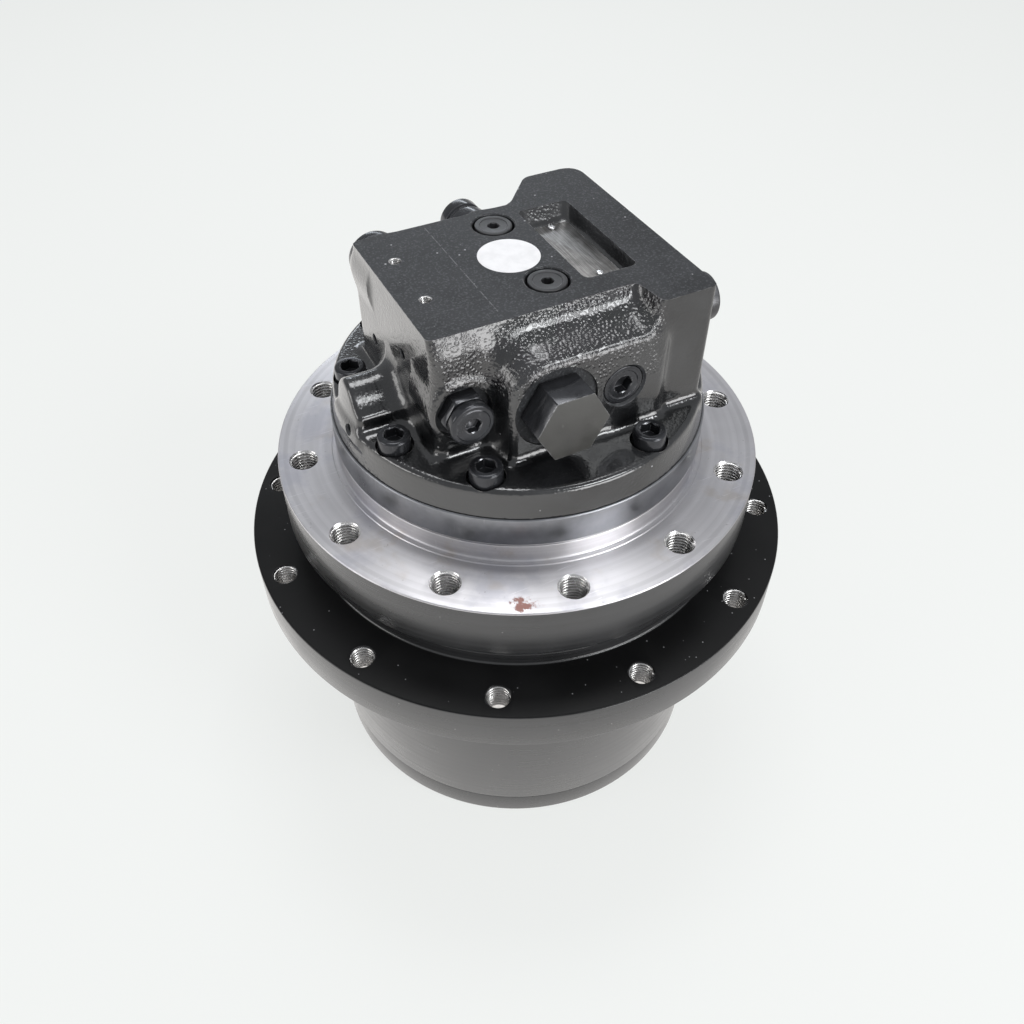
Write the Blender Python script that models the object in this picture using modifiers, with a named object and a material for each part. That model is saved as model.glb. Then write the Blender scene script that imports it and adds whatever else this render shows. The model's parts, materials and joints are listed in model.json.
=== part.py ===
"""Excavator final drive: a piston motor whose frame flange bolts to the track frame, and a two-stage
planetary reduction whose hub and sprocket flange turn around it.

Units are metres, +Z points from the end cover up to the motor's head, and the origin is the centre
of the cover's outer face, on the axis that everything turns about.
"""
from math import acos, cos, pi, radians, sin, sqrt, tan

import bmesh
import bpy
from mathutils import Matrix, Vector

# Shared
GAP = 0.0003
OVERRUN = 0.002
RUNNING_GAP = 0.0005
AXIAL_PLAY = 0.003
EDGE_CHAMFER = 0.0012
MERGE = 0.00005
SEGMENTS = 32
GROUP_SEGMENTS = 24
FINE_SEGMENTS = 20
HOLE_SEGMENTS = 12
SMALL_SEGMENTS = 8
ROLLER_SIDES = 6
SEAL_SIDES = 5
HEX = 6
UNIT = 1.0
SMOOTH_ANGLE = radians(32)

# End cover
COVER_R = 0.1312
COVER_T = 0.0195
COVER_WEB_T = 0.0140
COVER_SPIGOT_H = 0.0035
COVER_RECESS_R = 0.1000
COVER_CHAMFER = 0.0025
THRUST_BOSS_R = 0.0200
COVER_BOLT_R = 0.0040
COVER_BOLT_HEAD_R = 0.0065
COVER_BOLT_HEAD_H = 0.0080
COVER_BOLT_PCR = 0.1237
COVER_BOLT_GRIP = 0.0140
COVER_BOLT_COUNT = 8
OIL_PLUG_R = 0.0110
OIL_PLUG_T = 0.0080
OIL_PLUG_PCR = 0.0780
OIL_PLUG_COUNT = 2
OIL_PLUG_KEY_R = 0.0058

# Floating seal
SEAL_RING_OUTER_R = 0.1155
SEAL_RING_SECTION = 0.0105
SEAL_RING_H = 0.0090
SEAL_LIP = 0.0030
SEAL_RUBBER_R = 0.00495
SEAL_RUBBER_RISE = 0.0070
SEAL_NECK_WALL = 0.0100
SEAL_RING_INNER_R = SEAL_RING_OUTER_R - SEAL_RING_SECTION
SEAL_CAVITY_R = SEAL_RING_OUTER_R + 2 * (SEAL_RUBBER_R + GAP)
SEAL_CAVITY_H = 0.0135

# Hub
HUB_MOUTH_R = 0.1323
HUB_BARREL_R = 0.1340
HUB_BARREL_H = 0.1357
SPROCKET_R = 0.1715
SPROCKET_T = 0.0275
SPROCKET_FILLET = 0.0050
SPROCKET_HOLE_PLACE = 0.6197183
SPROCKET_HOLE_SHARE = 0.1859155
SPROCKET_HOLE_COUNT = 12
SPROCKET_PHASE = radians(-0.7)
NECK_R = SEAL_CAVITY_R + SEAL_NECK_WALL
NECK_H = 0.0085
HUB_SHOULDER_DEPTH = 0.0070
LABYRINTH_GAP = 0.0015
SPROCKET_FLANGE_W = SPROCKET_R - NECK_R
SPROCKET_PCR = NECK_R + SPROCKET_HOLE_PLACE * SPROCKET_FLANGE_W
SPROCKET_HOLE_R = SPROCKET_HOLE_SHARE * SPROCKET_FLANGE_W

# Gears
MODULE = 0.0040
PRESSURE_ANGLE = radians(25)
ADDENDUM = 0.0032
DEDENDUM = 0.0042
BACKLASH = 0.0004
SUN_1_TEETH = 9
PLANET_1_TEETH = 21
SUN_2_TEETH = 15
PLANET_2_TEETH = 18
RING_TEETH = SUN_2_TEETH + 2 * PLANET_2_TEETH
PLANET_COUNT = 3
RING_GEAR_W = 0.0800
RING_GEAR_WALL = 0.0115
STAGE_1_W = 0.0220
STAGE_2_W = 0.0400
CARRIER_T = 0.0100
CARRIER_RIM = 0.0090
PLANET_1_PIN_R = 0.0100
PLANET_2_PIN_R = 0.0130
PIN_SINK = 0.0020
BUSH_T = 0.0025
SUN_2_NECK_R = 0.0210

# Main bearings
BEARING_OUTER_R = 0.1140
BEARING_SECTION = 0.0300
BEARING_BORE_R = BEARING_OUTER_R - BEARING_SECTION
BEARING_W = 0.0240
BEARING_SPACER_W = 0.0100
RACE_WALL = 0.0080
RACE_TAPER = radians(11)
ROLLER_END_GAP = 0.0025
CAGE_T = 0.0020
CAGE_LAP = 0.0015
MAIN_ROLLER_COUNT = 14
BEARING_NUT_T = 0.0110
BEARING_NUT_WALL = 0.0130
BEARING_NUT_R = BEARING_BORE_R + BEARING_NUT_WALL
SPINDLE_NOSE = 0.0030

# Motor casing
FRAME_R = 0.1464
FRAME_T = 0.0380
FRAME_PCR = 0.1311
FRAME_HOLE_R = 0.0074
FRAME_HOLE_DEPTH = 0.0300
FRAME_HOLE_COUNT = 12
FRAME_PHASE = radians(16.1)
SKIRT_H = 0.0100
PILOT_R = 0.1103
PILOT_H = 0.0120
GROOVE_H = 0.0015
GROOVE_DEPTH = 0.0010
CASING_RIM_R = 0.1108
CASING_RIM_H = 0.0185
SPINDLE_SHOULDER_SHARE = 0.5714286
SPINDLE_SHOULDER_R = BEARING_BORE_R + SPINDLE_SHOULDER_SHARE * (SEAL_RING_INNER_R - BEARING_BORE_R)
THROAT_R = 0.0200
THROAT_H = 0.0070
CHAMBER_R = 0.0620
BRAKE_BORE_R = 0.0800
BRAKE_BORE_H = 0.0350
BRAKE_CYLINDER_R = 0.0880
BRAKE_CYLINDER_H = 0.0330

# Drive shaft and its bearings
SHAFT_R = 0.0170
SHAFT_TAIL_R = 0.0120
SHAFT_TIP_R = 0.0085
SHAFT_BEARING_R = 0.0310
SHAFT_BEARING_W = 0.0140
SHAFT_RACE_T = 0.0040
SHAFT_ROLLER_COUNT = 8
SHAFT_END_GAP = 0.0020
SHAFT_SEAL_R = 0.0260
SHAFT_SEAL_T = 0.0080

# Motor rotating group
BLOCK_R = 0.0500
BLOCK_H = 0.0480
PISTON_COUNT = 9
PISTON_R = 0.0072
PISTON_PCR = 0.0340
PISTON_L = 0.0440
PISTON_BORE_DEPTH = 0.0420
SLIPPER_R = 0.0090
SLIPPER_H = 0.0040
PISTON_NECK_R = 0.0040
PISTON_NECK_H = 0.0040
RETAINER_T = 0.0025
VALVE_PLATE_T = 0.0027
VALVE_PLATE_R = 0.0480
KIDNEY_W = 0.0070
KIDNEY_SWEEP = radians(130)
SWASH_R = 0.0540
SWASH_BORE_R = 0.0240
SWASH_MID_T = 0.0260
SWASH_ANGLE = radians(15)
SWASH_STEP_ANGLE = radians(7)
SPEED_PISTON_R = 0.0060
SPEED_PISTON_L = 0.0180
SPEED_PISTON_X = 0.0440
SPEED_PISTON_END_GAP = 0.0010

# Parking brake
BRAKE_DISC_T = 0.0050
BRAKE_DISC_LAP = 0.0040
BRAKE_PISTON_INNER_R = 0.0565
BRAKE_PISTON_LIFT_ROOM = 0.0020
BRAKE_SPRING_T = 0.0030
BRAKE_SPRING_INNER_R = 0.0620

# Rear cover and head
REAR_DISC_R = 0.1095
REAR_DISC_TOP_R = 0.1070
REAR_DISC_T = 0.0167
REAR_DISC_ROUND = 0.0020
REAR_BOSS_R = 0.0540
REAR_BOSS_H = 0.0370
HEAD_H = 0.0720
HEAD_X = 0.0750
HEAD_Y = 0.0560
HEAD_TOP_INSET = 0.0045
HEAD_SHOULDER_H = 0.0120
WING_X = 0.0760
WING_Y = 0.0720
WING_INNER_X = 0.0430
WING_CHAMFER = 0.0220
WING_RAMP = 0.0080
WING_RAMP_H = 0.0190
HEAD_SINK = 0.0050
HEAD_BEVEL = 0.0030

FRONT_BOSS_LEFT = 0.0420
FRONT_BOSS_RIGHT = 0.0480
FRONT_BOSS_PROUD = 0.0035
FRONT_BOSS_TOP = 0.0156
FRONT_BOSS_CORNER = 0.0180
FRONT_BOSS_RISE = 0.0080
FRONT_BOSS_DRAFT = 0.0040

RIDGE_CREST = 0.0210
RIDGE_STEP = 0.0145
RIDGE_BACK = 0.0120
RIDGE_NOSE = 0.0090
RIDGE_FRONT = 0.0310
RIDGE_BEVEL = 0.0030

BACK_PAD_X = 0.0325
BACK_PAD_W = 0.0230
BACK_PAD_T = 0.0040
BACK_PAD_H = 0.0450

POCKET_LEFT = 0.0200
POCKET_RIGHT = 0.0510
POCKET_BACK = 0.0410
POCKET_FRONT = 0.0370
POCKET_CORNER = 0.0080
POCKET_DEPTH = 0.0090
PLATE_T = 0.0010
PLATE_W = 0.0240
PLATE_L = 0.0600

# Cap screws of the rear cover
CAP_SCREW_R = 0.0060
CAP_SCREW_HEAD_R = 0.0090
CAP_SCREW_HEAD_H = 0.0120
CAP_SCREW_KEY_R = 0.0058
CAP_SCREW_KEY_DEPTH = 0.0060
CAP_SCREW_SPOT_R = 0.0098
CAP_SCREW_SPOT_DEPTH = 0.0050
CAP_SCREW_REACH = 0.0120
CAP_SCREW_PCR = 0.0964
CAP_SCREW_ANGLES = [radians(a) for a in (20, 70.3, 126.8, 159.8)]

# Plugs and valves in the head
PORT_DROP = 0.0430
SPOTFACE_DEPTH = 0.0015
BIG_PLUG_X = -0.0163
BIG_PLUG_HEX_R = 0.0208
BIG_PLUG_HEAD_H = 0.0190
BIG_PLUG_STEM_R = 0.0160
BIG_PLUG_STEM_L = 0.0160
BIG_PLUG_SPOT_R = 0.0238
SPOOL_R = 0.0110
SPOOL_WAIST_R = 0.0070
SPOOL_LAND = 0.0120
SPOOL_LAND_COUNT = 3
SPOOL_L = 0.0780
SPOOL_TRAVEL = 0.0050
SPOOL_END_GAP = 0.0010

RELIEF_X = -0.0606
RELIEF_SPOT_R = 0.0153
RELIEF_HEX_R = 0.0132
RELIEF_HEX_H = 0.0090
RELIEF_STEM_R = 0.0090
RELIEF_STEM_L = 0.0180
RELIEF_CAP_R = 0.0121
RELIEF_CAP_H = 0.0065
RELIEF_KEY_R = 0.0046
RELIEF_KEY_DEPTH = 0.0045

PORT_PLUG_R = 0.0116
PORT_PLUG_T = 0.0100
PORT_PLUG_KEY_R = 0.0064
PORT_PLUG_KEY_DEPTH = 0.0060
FRONT_PLUG_X = 0.0233
TOP_PLUG_R = 0.0105
TOP_PLUG_GROOVE = 0.0017
TOP_PLUG_X = 0.0020
TOP_PLUG_Y = 0.0315
TOP_PLUG_SHIFT = 0.0030
TOP_PLUG_T = 0.0100
TOP_PLUG_KEY_R = 0.0035
TAPPED_R = 0.0030
TAPPED_DEPTH = 0.0110
TAPPED_X = -0.0612
TAPPED_Y = 0.0202
TAPPED_SHIFT = 0.0028

SIDE_PLUG_R = 0.0130
SIDE_PLUG_H = 0.0080
SIDE_PLUG_STEM_R = 0.0090
SIDE_PLUG_STEM_L = 0.0120
SIDE_PLUG_Y = -0.0560
SIDE_PLUG_DROP = 0.0170
BACK_CAP_X = -0.0600
BACK_CAP_R = 0.0148
BACK_CAP_H = 0.0060
BACK_CAP_STEM_R = 0.0100
BACK_CAP_STEM_L = 0.0090
BACK_FITTING_X = 0.0005
BACK_FITTING_R = 0.0130
BACK_FITTING_L = 0.0220
BACK_FITTING_BORE_R = 0.0060
BACK_FITTING_BORE_DEPTH = 0.0140
BACK_DROP = 0.0170

# Levels along the axis, bottom to top
cover_top = COVER_T
hub_bottom = cover_top + GAP
spigot_top = cover_top + COVER_SPIGOT_H
sprocket_bottom = hub_bottom + HUB_BARREL_H
sprocket_top = sprocket_bottom + SPROCKET_T
neck_top = sprocket_top + NECK_H
skirt_bottom = neck_top + LABYRINTH_GAP
frame_bottom = skirt_bottom + SKIRT_H
frame_top = frame_bottom + FRAME_T
pilot_top = frame_top + PILOT_H
casing_top = pilot_top + GROOVE_H + CASING_RIM_H
seal_face = (neck_top + skirt_bottom) / 2

ring_bottom = spigot_top + GAP
ring_top = ring_bottom + RING_GEAR_W
stage_1_bottom = ring_bottom + AXIAL_PLAY
stage_1_top = stage_1_bottom + STAGE_1_W
carrier_bottom = stage_1_top + GAP
carrier_top = carrier_bottom + CARRIER_T
stage_2_bottom = carrier_top + AXIAL_PLAY
stage_2_top = stage_2_bottom + STAGE_2_W
spindle_bottom = stage_2_top + GAP
nut_bottom = spindle_bottom + SPINDLE_NOSE
lower_bearing = nut_bottom + BEARING_NUT_T + GAP
spacer_bottom = lower_bearing + BEARING_W + GAP
spacer_top = spacer_bottom + BEARING_SPACER_W
upper_bearing = spacer_top + GAP
spindle_shoulder = upper_bearing + BEARING_W + GAP

throat_top = spindle_bottom + THROAT_H
shaft_seal_bottom = throat_top + GAP
front_bearing = throat_top + SHAFT_SEAL_T + 3 * GAP
chamber_floor = front_bearing + SHAFT_BEARING_W + GAP
rear_cover_bottom = casing_top + GAP
valve_face = rear_cover_bottom - REAR_BOSS_H
valve_plate_bottom = valve_face - GAP - VALVE_PLATE_T
block_top = valve_plate_bottom - GAP
block_bottom = block_top - BLOCK_H
rear_bearing = valve_face + 2 * GAP
rear_bearing_top = rear_bearing + SHAFT_BEARING_W
disc_top = rear_cover_bottom + REAR_DISC_T
head_top = disc_top + HEAD_H
port_z = head_top - PORT_DROP
brake_shoulder = casing_top - BRAKE_CYLINDER_H - BRAKE_BORE_H
brake_cylinder_floor = casing_top - BRAKE_CYLINDER_H
swash_floor = chamber_floor + GAP
swash_mid = swash_floor + SWASH_MID_T
slipper_bottom = swash_mid + (PISTON_PCR + SLIPPER_R) * tan(SWASH_ANGLE) + RUNNING_GAP

# Radii that follow others
ring_pitch_r = MODULE * RING_TEETH / 2
ring_outer_r = ring_pitch_r + DEDENDUM + RING_GEAR_WALL
ring_seat_r = ring_outer_r + GAP
cup_seat_r = BEARING_OUTER_R + GAP
planet_1_pcr = MODULE * (SUN_1_TEETH + PLANET_1_TEETH) / 2
planet_2_pcr = MODULE * (SUN_2_TEETH + PLANET_2_TEETH) / 2
carrier_r = planet_1_pcr + PLANET_1_PIN_R + CARRIER_RIM
cavity_floor = seal_face - SEAL_CAVITY_H
cavity_roof = seal_face + SEAL_CAVITY_H
shaft_cup_r = SHAFT_BEARING_R - SHAFT_RACE_T
head_front = -(WING_Y + FRONT_BOSS_PROUD)


# Helpers
def clear_scene():
    for obj in list(bpy.data.objects):
        bpy.data.objects.remove(obj, do_unlink=True)


def make_collection(name, hidden=False):
    col = bpy.data.collections.new(name)
    bpy.context.scene.collection.children.link(col)
    col.hide_render = hidden
    return col


def make_material(name, colour, roughness, metallic):
    mat = bpy.data.materials.new(name)
    mat.use_nodes = True
    shader = mat.node_tree.nodes["Principled BSDF"]
    shader.inputs["Base Color"].default_value = (*colour, 1.0)
    shader.inputs["Roughness"].default_value = roughness
    shader.inputs["Metallic"].default_value = metallic
    mat.diffuse_color = (*colour, 1.0)
    return mat


def new_object(name, data, collection):
    obj = bpy.data.objects.new(name, data)
    collection.objects.link(obj)
    if collection is CUTTERS:
        obj.hide_render = True
        obj.display_type = "WIRE"
    return obj


def bake(obj):
    """Turn an object with modifiers, or a curve, into a plain welded mesh at the same place."""
    graph = bpy.context.evaluated_depsgraph_get()
    mesh = bpy.data.meshes.new_from_object(obj.evaluated_get(graph), depsgraph=graph)
    bm = bmesh.new()
    bm.from_mesh(mesh)
    bmesh.ops.remove_doubles(bm, verts=bm.verts, dist=MERGE / 10)
    bmesh.ops.recalc_face_normals(bm, faces=bm.faces)
    bm.to_mesh(mesh)
    bm.free()
    name = obj.name
    collection = obj.users_collection[0]
    matrix = obj.matrix_world.copy()
    bpy.data.objects.remove(obj, do_unlink=True)
    mesh.shade_smooth()
    mesh.set_sharp_from_angle(angle=SMOOTH_ANGLE)
    result = new_object(name, mesh, collection)
    result.matrix_world = matrix
    return result


def node(obj, material, parent=None):
    """Give a finished piece its colour, its place in the model and the axis it moves about."""
    bpy.context.view_layer.update()
    obj = bake(obj)
    obj.data.materials.clear()
    obj.data.materials.append(material)
    if parent is not None:
        matrix = obj.matrix_world.copy()
        obj.parent = parent
        obj.matrix_parent_inverse = parent.matrix_world.inverted()
        obj.matrix_world = matrix
    return obj


def axis_empty(name, place):
    empty = bpy.data.objects.new(name, None)
    PARTS.objects.link(empty)
    empty.location = place
    bpy.context.view_layer.update()
    return empty


def turned(name, profile, segments=SEGMENTS, closed=True, collection=None):
    """Revolve a profile of (radius, z) points about Z. The points run down the outer side first."""
    mesh = bpy.data.meshes.new(name)
    verts = [(r, 0.0, z) for r, z in profile]
    edges = [(i, i + 1) for i in range(len(verts) - 1)]
    if closed:
        edges.append((len(verts) - 1, 0))
    mesh.from_pydata(verts, edges, [])
    obj = new_object(name, mesh, collection or PARTS)
    screw = obj.modifiers.new("Turn", "SCREW")
    screw.steps = segments
    screw.render_steps = segments
    screw.use_merge_vertices = True
    screw.merge_threshold = MERGE
    return obj


def tube(name, inner_r, outer_r, bottom, top, segments=SEGMENTS, collection=None):
    profile = [(outer_r, top), (outer_r, bottom), (inner_r, bottom), (inner_r, top)]
    return turned(name, profile, segments, True, collection)


def rod(name, radius, bottom, top, segments=HOLE_SEGMENTS, collection=None):
    """A cylinder along Z between two levels, with its first corner at +X."""
    mesh = bpy.data.meshes.new(name)
    bm = bmesh.new()
    middle = move(0.0, 0.0, (top + bottom) / 2) @ turn(pi / 2)
    bmesh.ops.create_cone(bm, cap_ends=True, segments=segments, radius1=radius, radius2=radius,
                          depth=top - bottom, matrix=middle)
    bm.to_mesh(mesh)
    bm.free()
    return new_object(name, mesh, collection or PARTS)


def torus(name, major_r, minor_r, z, segments, sides):
    bpy.ops.mesh.primitive_torus_add(major_radius=major_r, minor_radius=minor_r, location=(0, 0, z),
                                     major_segments=segments, minor_segments=sides)
    obj = bpy.context.object
    obj.name = name
    for col in list(obj.users_collection):
        col.objects.unlink(obj)
    PARTS.objects.link(obj)
    return obj


def prism(name, outlines, bottom, top, collection=None, matrix=None):
    """Fill one or more closed XY outlines, the inner ones as holes, and extrude them along Z."""
    curve = bpy.data.curves.new(name, "CURVE")
    curve.dimensions = "2D"
    curve.fill_mode = "BOTH"
    curve.extrude = (top - bottom) / 2
    for outline in outlines:
        spline = curve.splines.new("POLY")
        spline.points.add(len(outline) - 1)
        for point, (x, y) in zip(spline.points, outline):
            point.co = (x, y, 0, UNIT)
        spline.use_cyclic_u = True
    obj = new_object(name, curve, collection or PARTS)
    lift = Matrix.Translation((0, 0, (top + bottom) / 2))
    obj.matrix_world = (matrix or Matrix()) @ lift
    bpy.context.view_layer.update()
    return bake(obj)


def hull(name, points, collection=None):
    """The convex body around a set of points, for a loft between two unlike convex sections."""
    mesh = bpy.data.meshes.new(name)
    bm = bmesh.new()
    verts = [bm.verts.new(p) for p in points]
    result = bmesh.ops.convex_hull(bm, input=verts)
    bmesh.ops.delete(bm, geom=[v for v in result["geom_interior"] if isinstance(v, bmesh.types.BMVert)],
                     context="VERTS")
    bm.to_mesh(mesh)
    bm.free()
    return new_object(name, mesh, collection or PARTS)


def bevel(obj, width, segments=1):
    modifier = obj.modifiers.new("Bevel", "BEVEL")
    modifier.width = width
    modifier.segments = segments
    modifier.limit_method = "ANGLE"
    modifier.angle_limit = radians(40)
    return obj


def combine(target, tool, operation):
    modifier = target.modifiers.new(operation.title(), "BOOLEAN")
    modifier.operation = operation
    modifier.solver = "EXACT"
    modifier.object = tool
    return target


def cut(target, *tools):
    for tool in tools:
        combine(target, tool, "DIFFERENCE")
    return target


def join(target, *tools):
    for tool in tools:
        combine(target, tool, "UNION")
    return target


def copies(name, source, matrices, collection=None):
    """One object holding a separate solid for each matrix, all copies of one source mesh."""
    bpy.context.view_layer.update()
    source = bake(source)
    bm = bmesh.new()
    for matrix in matrices:
        piece = source.data.copy()
        piece.transform(matrix @ source.matrix_world)
        bm.from_mesh(piece)
        bpy.data.meshes.remove(piece)
    mesh = bpy.data.meshes.new(name)
    bm.to_mesh(mesh)
    bm.free()
    bpy.data.objects.remove(source, do_unlink=True)
    return new_object(name, mesh, collection or PARTS)


def turn(angle):
    return Matrix.Rotation(angle, 4, "Z")


def move(x, y=0.0, z=0.0):
    return Matrix.Translation((x, y, z))


def around(count, radius, phase=0.0, z=0.0):
    """Matrices of a bolt circle: each copy stands at the radius and turns with its angle."""
    return [turn(phase + 2 * pi * i / count) @ move(radius, 0.0, z) for i in range(count)]


def facing(place, direction):
    """A frame whose +Z leaves a face along the direction, at a point on that face."""
    return Matrix.Translation(place) @ Vector(direction).to_track_quat("Z", "Y").to_matrix().to_4x4()


def running_bore(radius, segments):
    """Radius of a many-sided bore whose flats clear a round piece at any turn."""
    return (radius + GAP) / cos(pi / segments)


def circle(radius, segments):
    angles = [2 * pi * i / segments for i in range(segments)]
    return [(radius * cos(a), radius * sin(a)) for a in angles]


def arc(centre, radius, start, end, steps):
    return [(centre[0] + radius * cos(start + (end - start) * i / steps),
             centre[1] + radius * sin(start + (end - start) * i / steps)) for i in range(steps + 1)]


def involute(angle):
    return tan(angle) - angle


def tooth_half_angle(teeth, radius, widening):
    """Half the angle that a tooth, or an internal gear's tooth space, takes up at a radius."""
    pitch_r = MODULE * teeth / 2
    base_r = pitch_r * cos(PRESSURE_ANGLE)
    flank = involute(acos(min(1.0, base_r / radius)))
    return pi / (2 * teeth) + widening / (2 * pitch_r) + involute(PRESSURE_ANGLE) - flank


def gear_outline(teeth, internal=False):
    """Tooth outline with straight flanks from root to tip; an internal gear's outline is its space."""
    pitch_r = MODULE * teeth / 2
    low_r = pitch_r - (ADDENDUM if internal else DEDENDUM)
    high_r = pitch_r + (DEDENDUM if internal else ADDENDUM)
    widening = BACKLASH if internal else -BACKLASH
    points = []
    for i in range(teeth):
        centre = 2 * pi * i / teeth
        low = tooth_half_angle(teeth, low_r, widening)
        high = tooth_half_angle(teeth, high_r, widening)
        for radius, angle in ((low_r, -low), (high_r, -high), (high_r, high), (low_r, low)):
            points.append((radius * cos(centre + angle), radius * sin(centre + angle)))
    return points


def planet_phase(place_angle, teeth):
    """Turn of a planet that puts it in mesh with the ring gear, whose space is centred on +X."""
    return place_angle * (1 - RING_TEETH / teeth)


def sun_phase(teeth, planet_teeth):
    """Turn of a sun that puts it in mesh with the planet standing on +X."""
    return -pi / teeth + pi * planet_teeth / teeth


# Rotating housing
def build_cover(axis):
    thrust_top = stage_1_bottom - 2 * GAP
    profile = [(0.0, thrust_top), (THRUST_BOSS_R, thrust_top), (THRUST_BOSS_R, COVER_WEB_T),
               (COVER_RECESS_R, COVER_WEB_T), (COVER_RECESS_R, spigot_top),
               (ring_seat_r - GAP, spigot_top), (ring_seat_r - GAP, cover_top),
               (COVER_R, cover_top), (COVER_R, COVER_CHAMFER), (COVER_R - COVER_CHAMFER, 0.0), (0.0, 0.0)]
    cover = turned("end_cover", profile, closed=False)
    bolt_hole = rod("cover_bolt_hole", COVER_BOLT_R + GAP, -OVERRUN, cover_top + OVERRUN,
                    SMALL_SEGMENTS, CUTTERS)
    bolt_seat = rod("cover_bolt_seat", COVER_BOLT_HEAD_R + GAP, -OVERRUN, COVER_BOLT_HEAD_H + 2 * GAP,
                    SMALL_SEGMENTS, CUTTERS)
    plug_hole = rod("oil_plug_hole", OIL_PLUG_R + GAP, -OVERRUN, OIL_PLUG_T + GAP, HOLE_SEGMENTS, CUTTERS)
    cut(cover,
        copies("cover_bolt_holes", bolt_hole, around(COVER_BOLT_COUNT, COVER_BOLT_PCR), CUTTERS),
        copies("cover_bolt_seats", bolt_seat, around(COVER_BOLT_COUNT, COVER_BOLT_PCR), CUTTERS),
        copies("oil_plug_holes", plug_hole, around(OIL_PLUG_COUNT, OIL_PLUG_PCR, pi / 2), CUTTERS))
    node(cover, BLACK_PAINT, axis)

    for i, place in enumerate(around(OIL_PLUG_COUNT, OIL_PLUG_PCR, pi / 2)):
        plug = rod("oil_plug_%d" % (i + 1), OIL_PLUG_R, GAP, OIL_PLUG_T, HOLE_SEGMENTS)
        key = rod("oil_plug_key", OIL_PLUG_KEY_R, -OVERRUN, OIL_PLUG_T / 2, HEX, CUTTERS)
        plug.matrix_world = place
        key.matrix_world = place
        cut(plug, key)
        node(plug, DARK_STEEL, axis)


def build_hub(axis):
    shoulder_r = cup_seat_r - HUB_SHOULDER_DEPTH
    profile = [(NECK_R, neck_top), (NECK_R, sprocket_top),
               (SPROCKET_R - EDGE_CHAMFER, sprocket_top), (SPROCKET_R, sprocket_top - EDGE_CHAMFER),
               (SPROCKET_R, sprocket_bottom),
               (HUB_BARREL_R + SPROCKET_FILLET, sprocket_bottom),
               (HUB_BARREL_R, sprocket_bottom - SPROCKET_FILLET),
               (HUB_MOUTH_R, hub_bottom), (ring_seat_r, hub_bottom), (ring_seat_r, ring_top + GAP),
               (cup_seat_r, ring_top + GAP), (cup_seat_r, spacer_bottom), (shoulder_r, spacer_bottom),
               (shoulder_r, spacer_top), (cup_seat_r, spacer_top), (cup_seat_r, cavity_floor),
               (SEAL_CAVITY_R, cavity_floor), (SEAL_CAVITY_R, neck_top)]
    hub = turned("gear_hub", profile)
    hole = rod("sprocket_hole", SPROCKET_HOLE_R, sprocket_bottom - OVERRUN, sprocket_top + OVERRUN,
               HOLE_SEGMENTS, CUTTERS)
    bolt_hole = rod("hub_bolt_hole", COVER_BOLT_R + GAP, hub_bottom - OVERRUN,
                    cover_top + COVER_BOLT_GRIP + 2 * GAP, SMALL_SEGMENTS, CUTTERS)
    cut(hub,
        copies("sprocket_holes", hole, around(SPROCKET_HOLE_COUNT, SPROCKET_PCR, SPROCKET_PHASE), CUTTERS),
        copies("hub_bolt_holes", bolt_hole, around(COVER_BOLT_COUNT, COVER_BOLT_PCR), CUTTERS))
    node(hub, BLACK_PAINT, axis)

    ring = prism("ring_gear", [circle(ring_outer_r, SEGMENTS), gear_outline(RING_TEETH, internal=True)],
                 ring_bottom, ring_top)
    node(ring, GEAR_STEEL, axis)


# Gears
def planet_stage(stage, teeth, width, bottom, centre_r, pin_r, carrier=None):
    """Three planets. Each wheel's own origin is on the axis of its pin."""
    bore_r = running_bore(pin_r + GAP + BUSH_T, HOLE_SEGMENTS)
    for i, suffix in enumerate("abc"):
        angle = 2 * pi * i / PLANET_COUNT
        frame = turn(angle) @ move(centre_r) @ turn(planet_phase(angle, teeth) - angle)
        wheel = prism("planet_%d%s" % (stage, suffix), [gear_outline(teeth), circle(bore_r, HOLE_SEGMENTS)],
                      bottom, bottom + width, matrix=frame)
        node(wheel, GEAR_STEEL, carrier)


def planet_pins(centre_r, pin_r, bottom, top):
    """The pins of one stage, to be joined to what holds them."""
    pin = rod("pin", pin_r, bottom, top, HOLE_SEGMENTS, CUTTERS)
    return copies("planet_pins", pin, around(PLANET_COUNT, centre_r), CUTTERS)


def build_stage_1(carrier_axis, shaft_axis):
    carrier = tube("carrier", running_bore(SUN_2_NECK_R, SEGMENTS), carrier_r, carrier_bottom, carrier_top)
    join(carrier, planet_pins(planet_1_pcr, PLANET_1_PIN_R, stage_1_bottom, carrier_top - PIN_SINK))
    node(carrier, GEAR_STEEL, carrier_axis)
    planet_stage(1, PLANET_1_TEETH, STAGE_1_W, stage_1_bottom, planet_1_pcr, PLANET_1_PIN_R, carrier_axis)
    sun = prism("sun_gear_1", [gear_outline(SUN_1_TEETH), circle(SHAFT_TIP_R + 2 * GAP, FINE_SEGMENTS)],
                stage_1_bottom, stage_1_top, matrix=turn(sun_phase(SUN_1_TEETH, PLANET_1_TEETH)))
    node(sun, GEAR_STEEL, shaft_axis)


def build_stage_2(carrier_axis):
    """The second sun's neck fits through the carrier, which drives it."""
    bore = circle(running_bore(SHAFT_TAIL_R, FINE_SEGMENTS), FINE_SEGMENTS)
    frame = turn(sun_phase(SUN_2_TEETH, PLANET_2_TEETH))
    sun = prism("sun_gear_2", [gear_outline(SUN_2_TEETH), bore], stage_2_bottom, stage_2_top - AXIAL_PLAY,
                matrix=frame)
    neck = prism("sun_2_neck", [circle(SUN_2_NECK_R, FINE_SEGMENTS), bore], carrier_bottom,
                 stage_2_bottom + OVERRUN, CUTTERS, frame)
    join(sun, neck)
    node(sun, GEAR_STEEL, carrier_axis)
    planet_stage(2, PLANET_2_TEETH, STAGE_2_W, stage_2_bottom, planet_2_pcr, PLANET_2_PIN_R)


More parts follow.
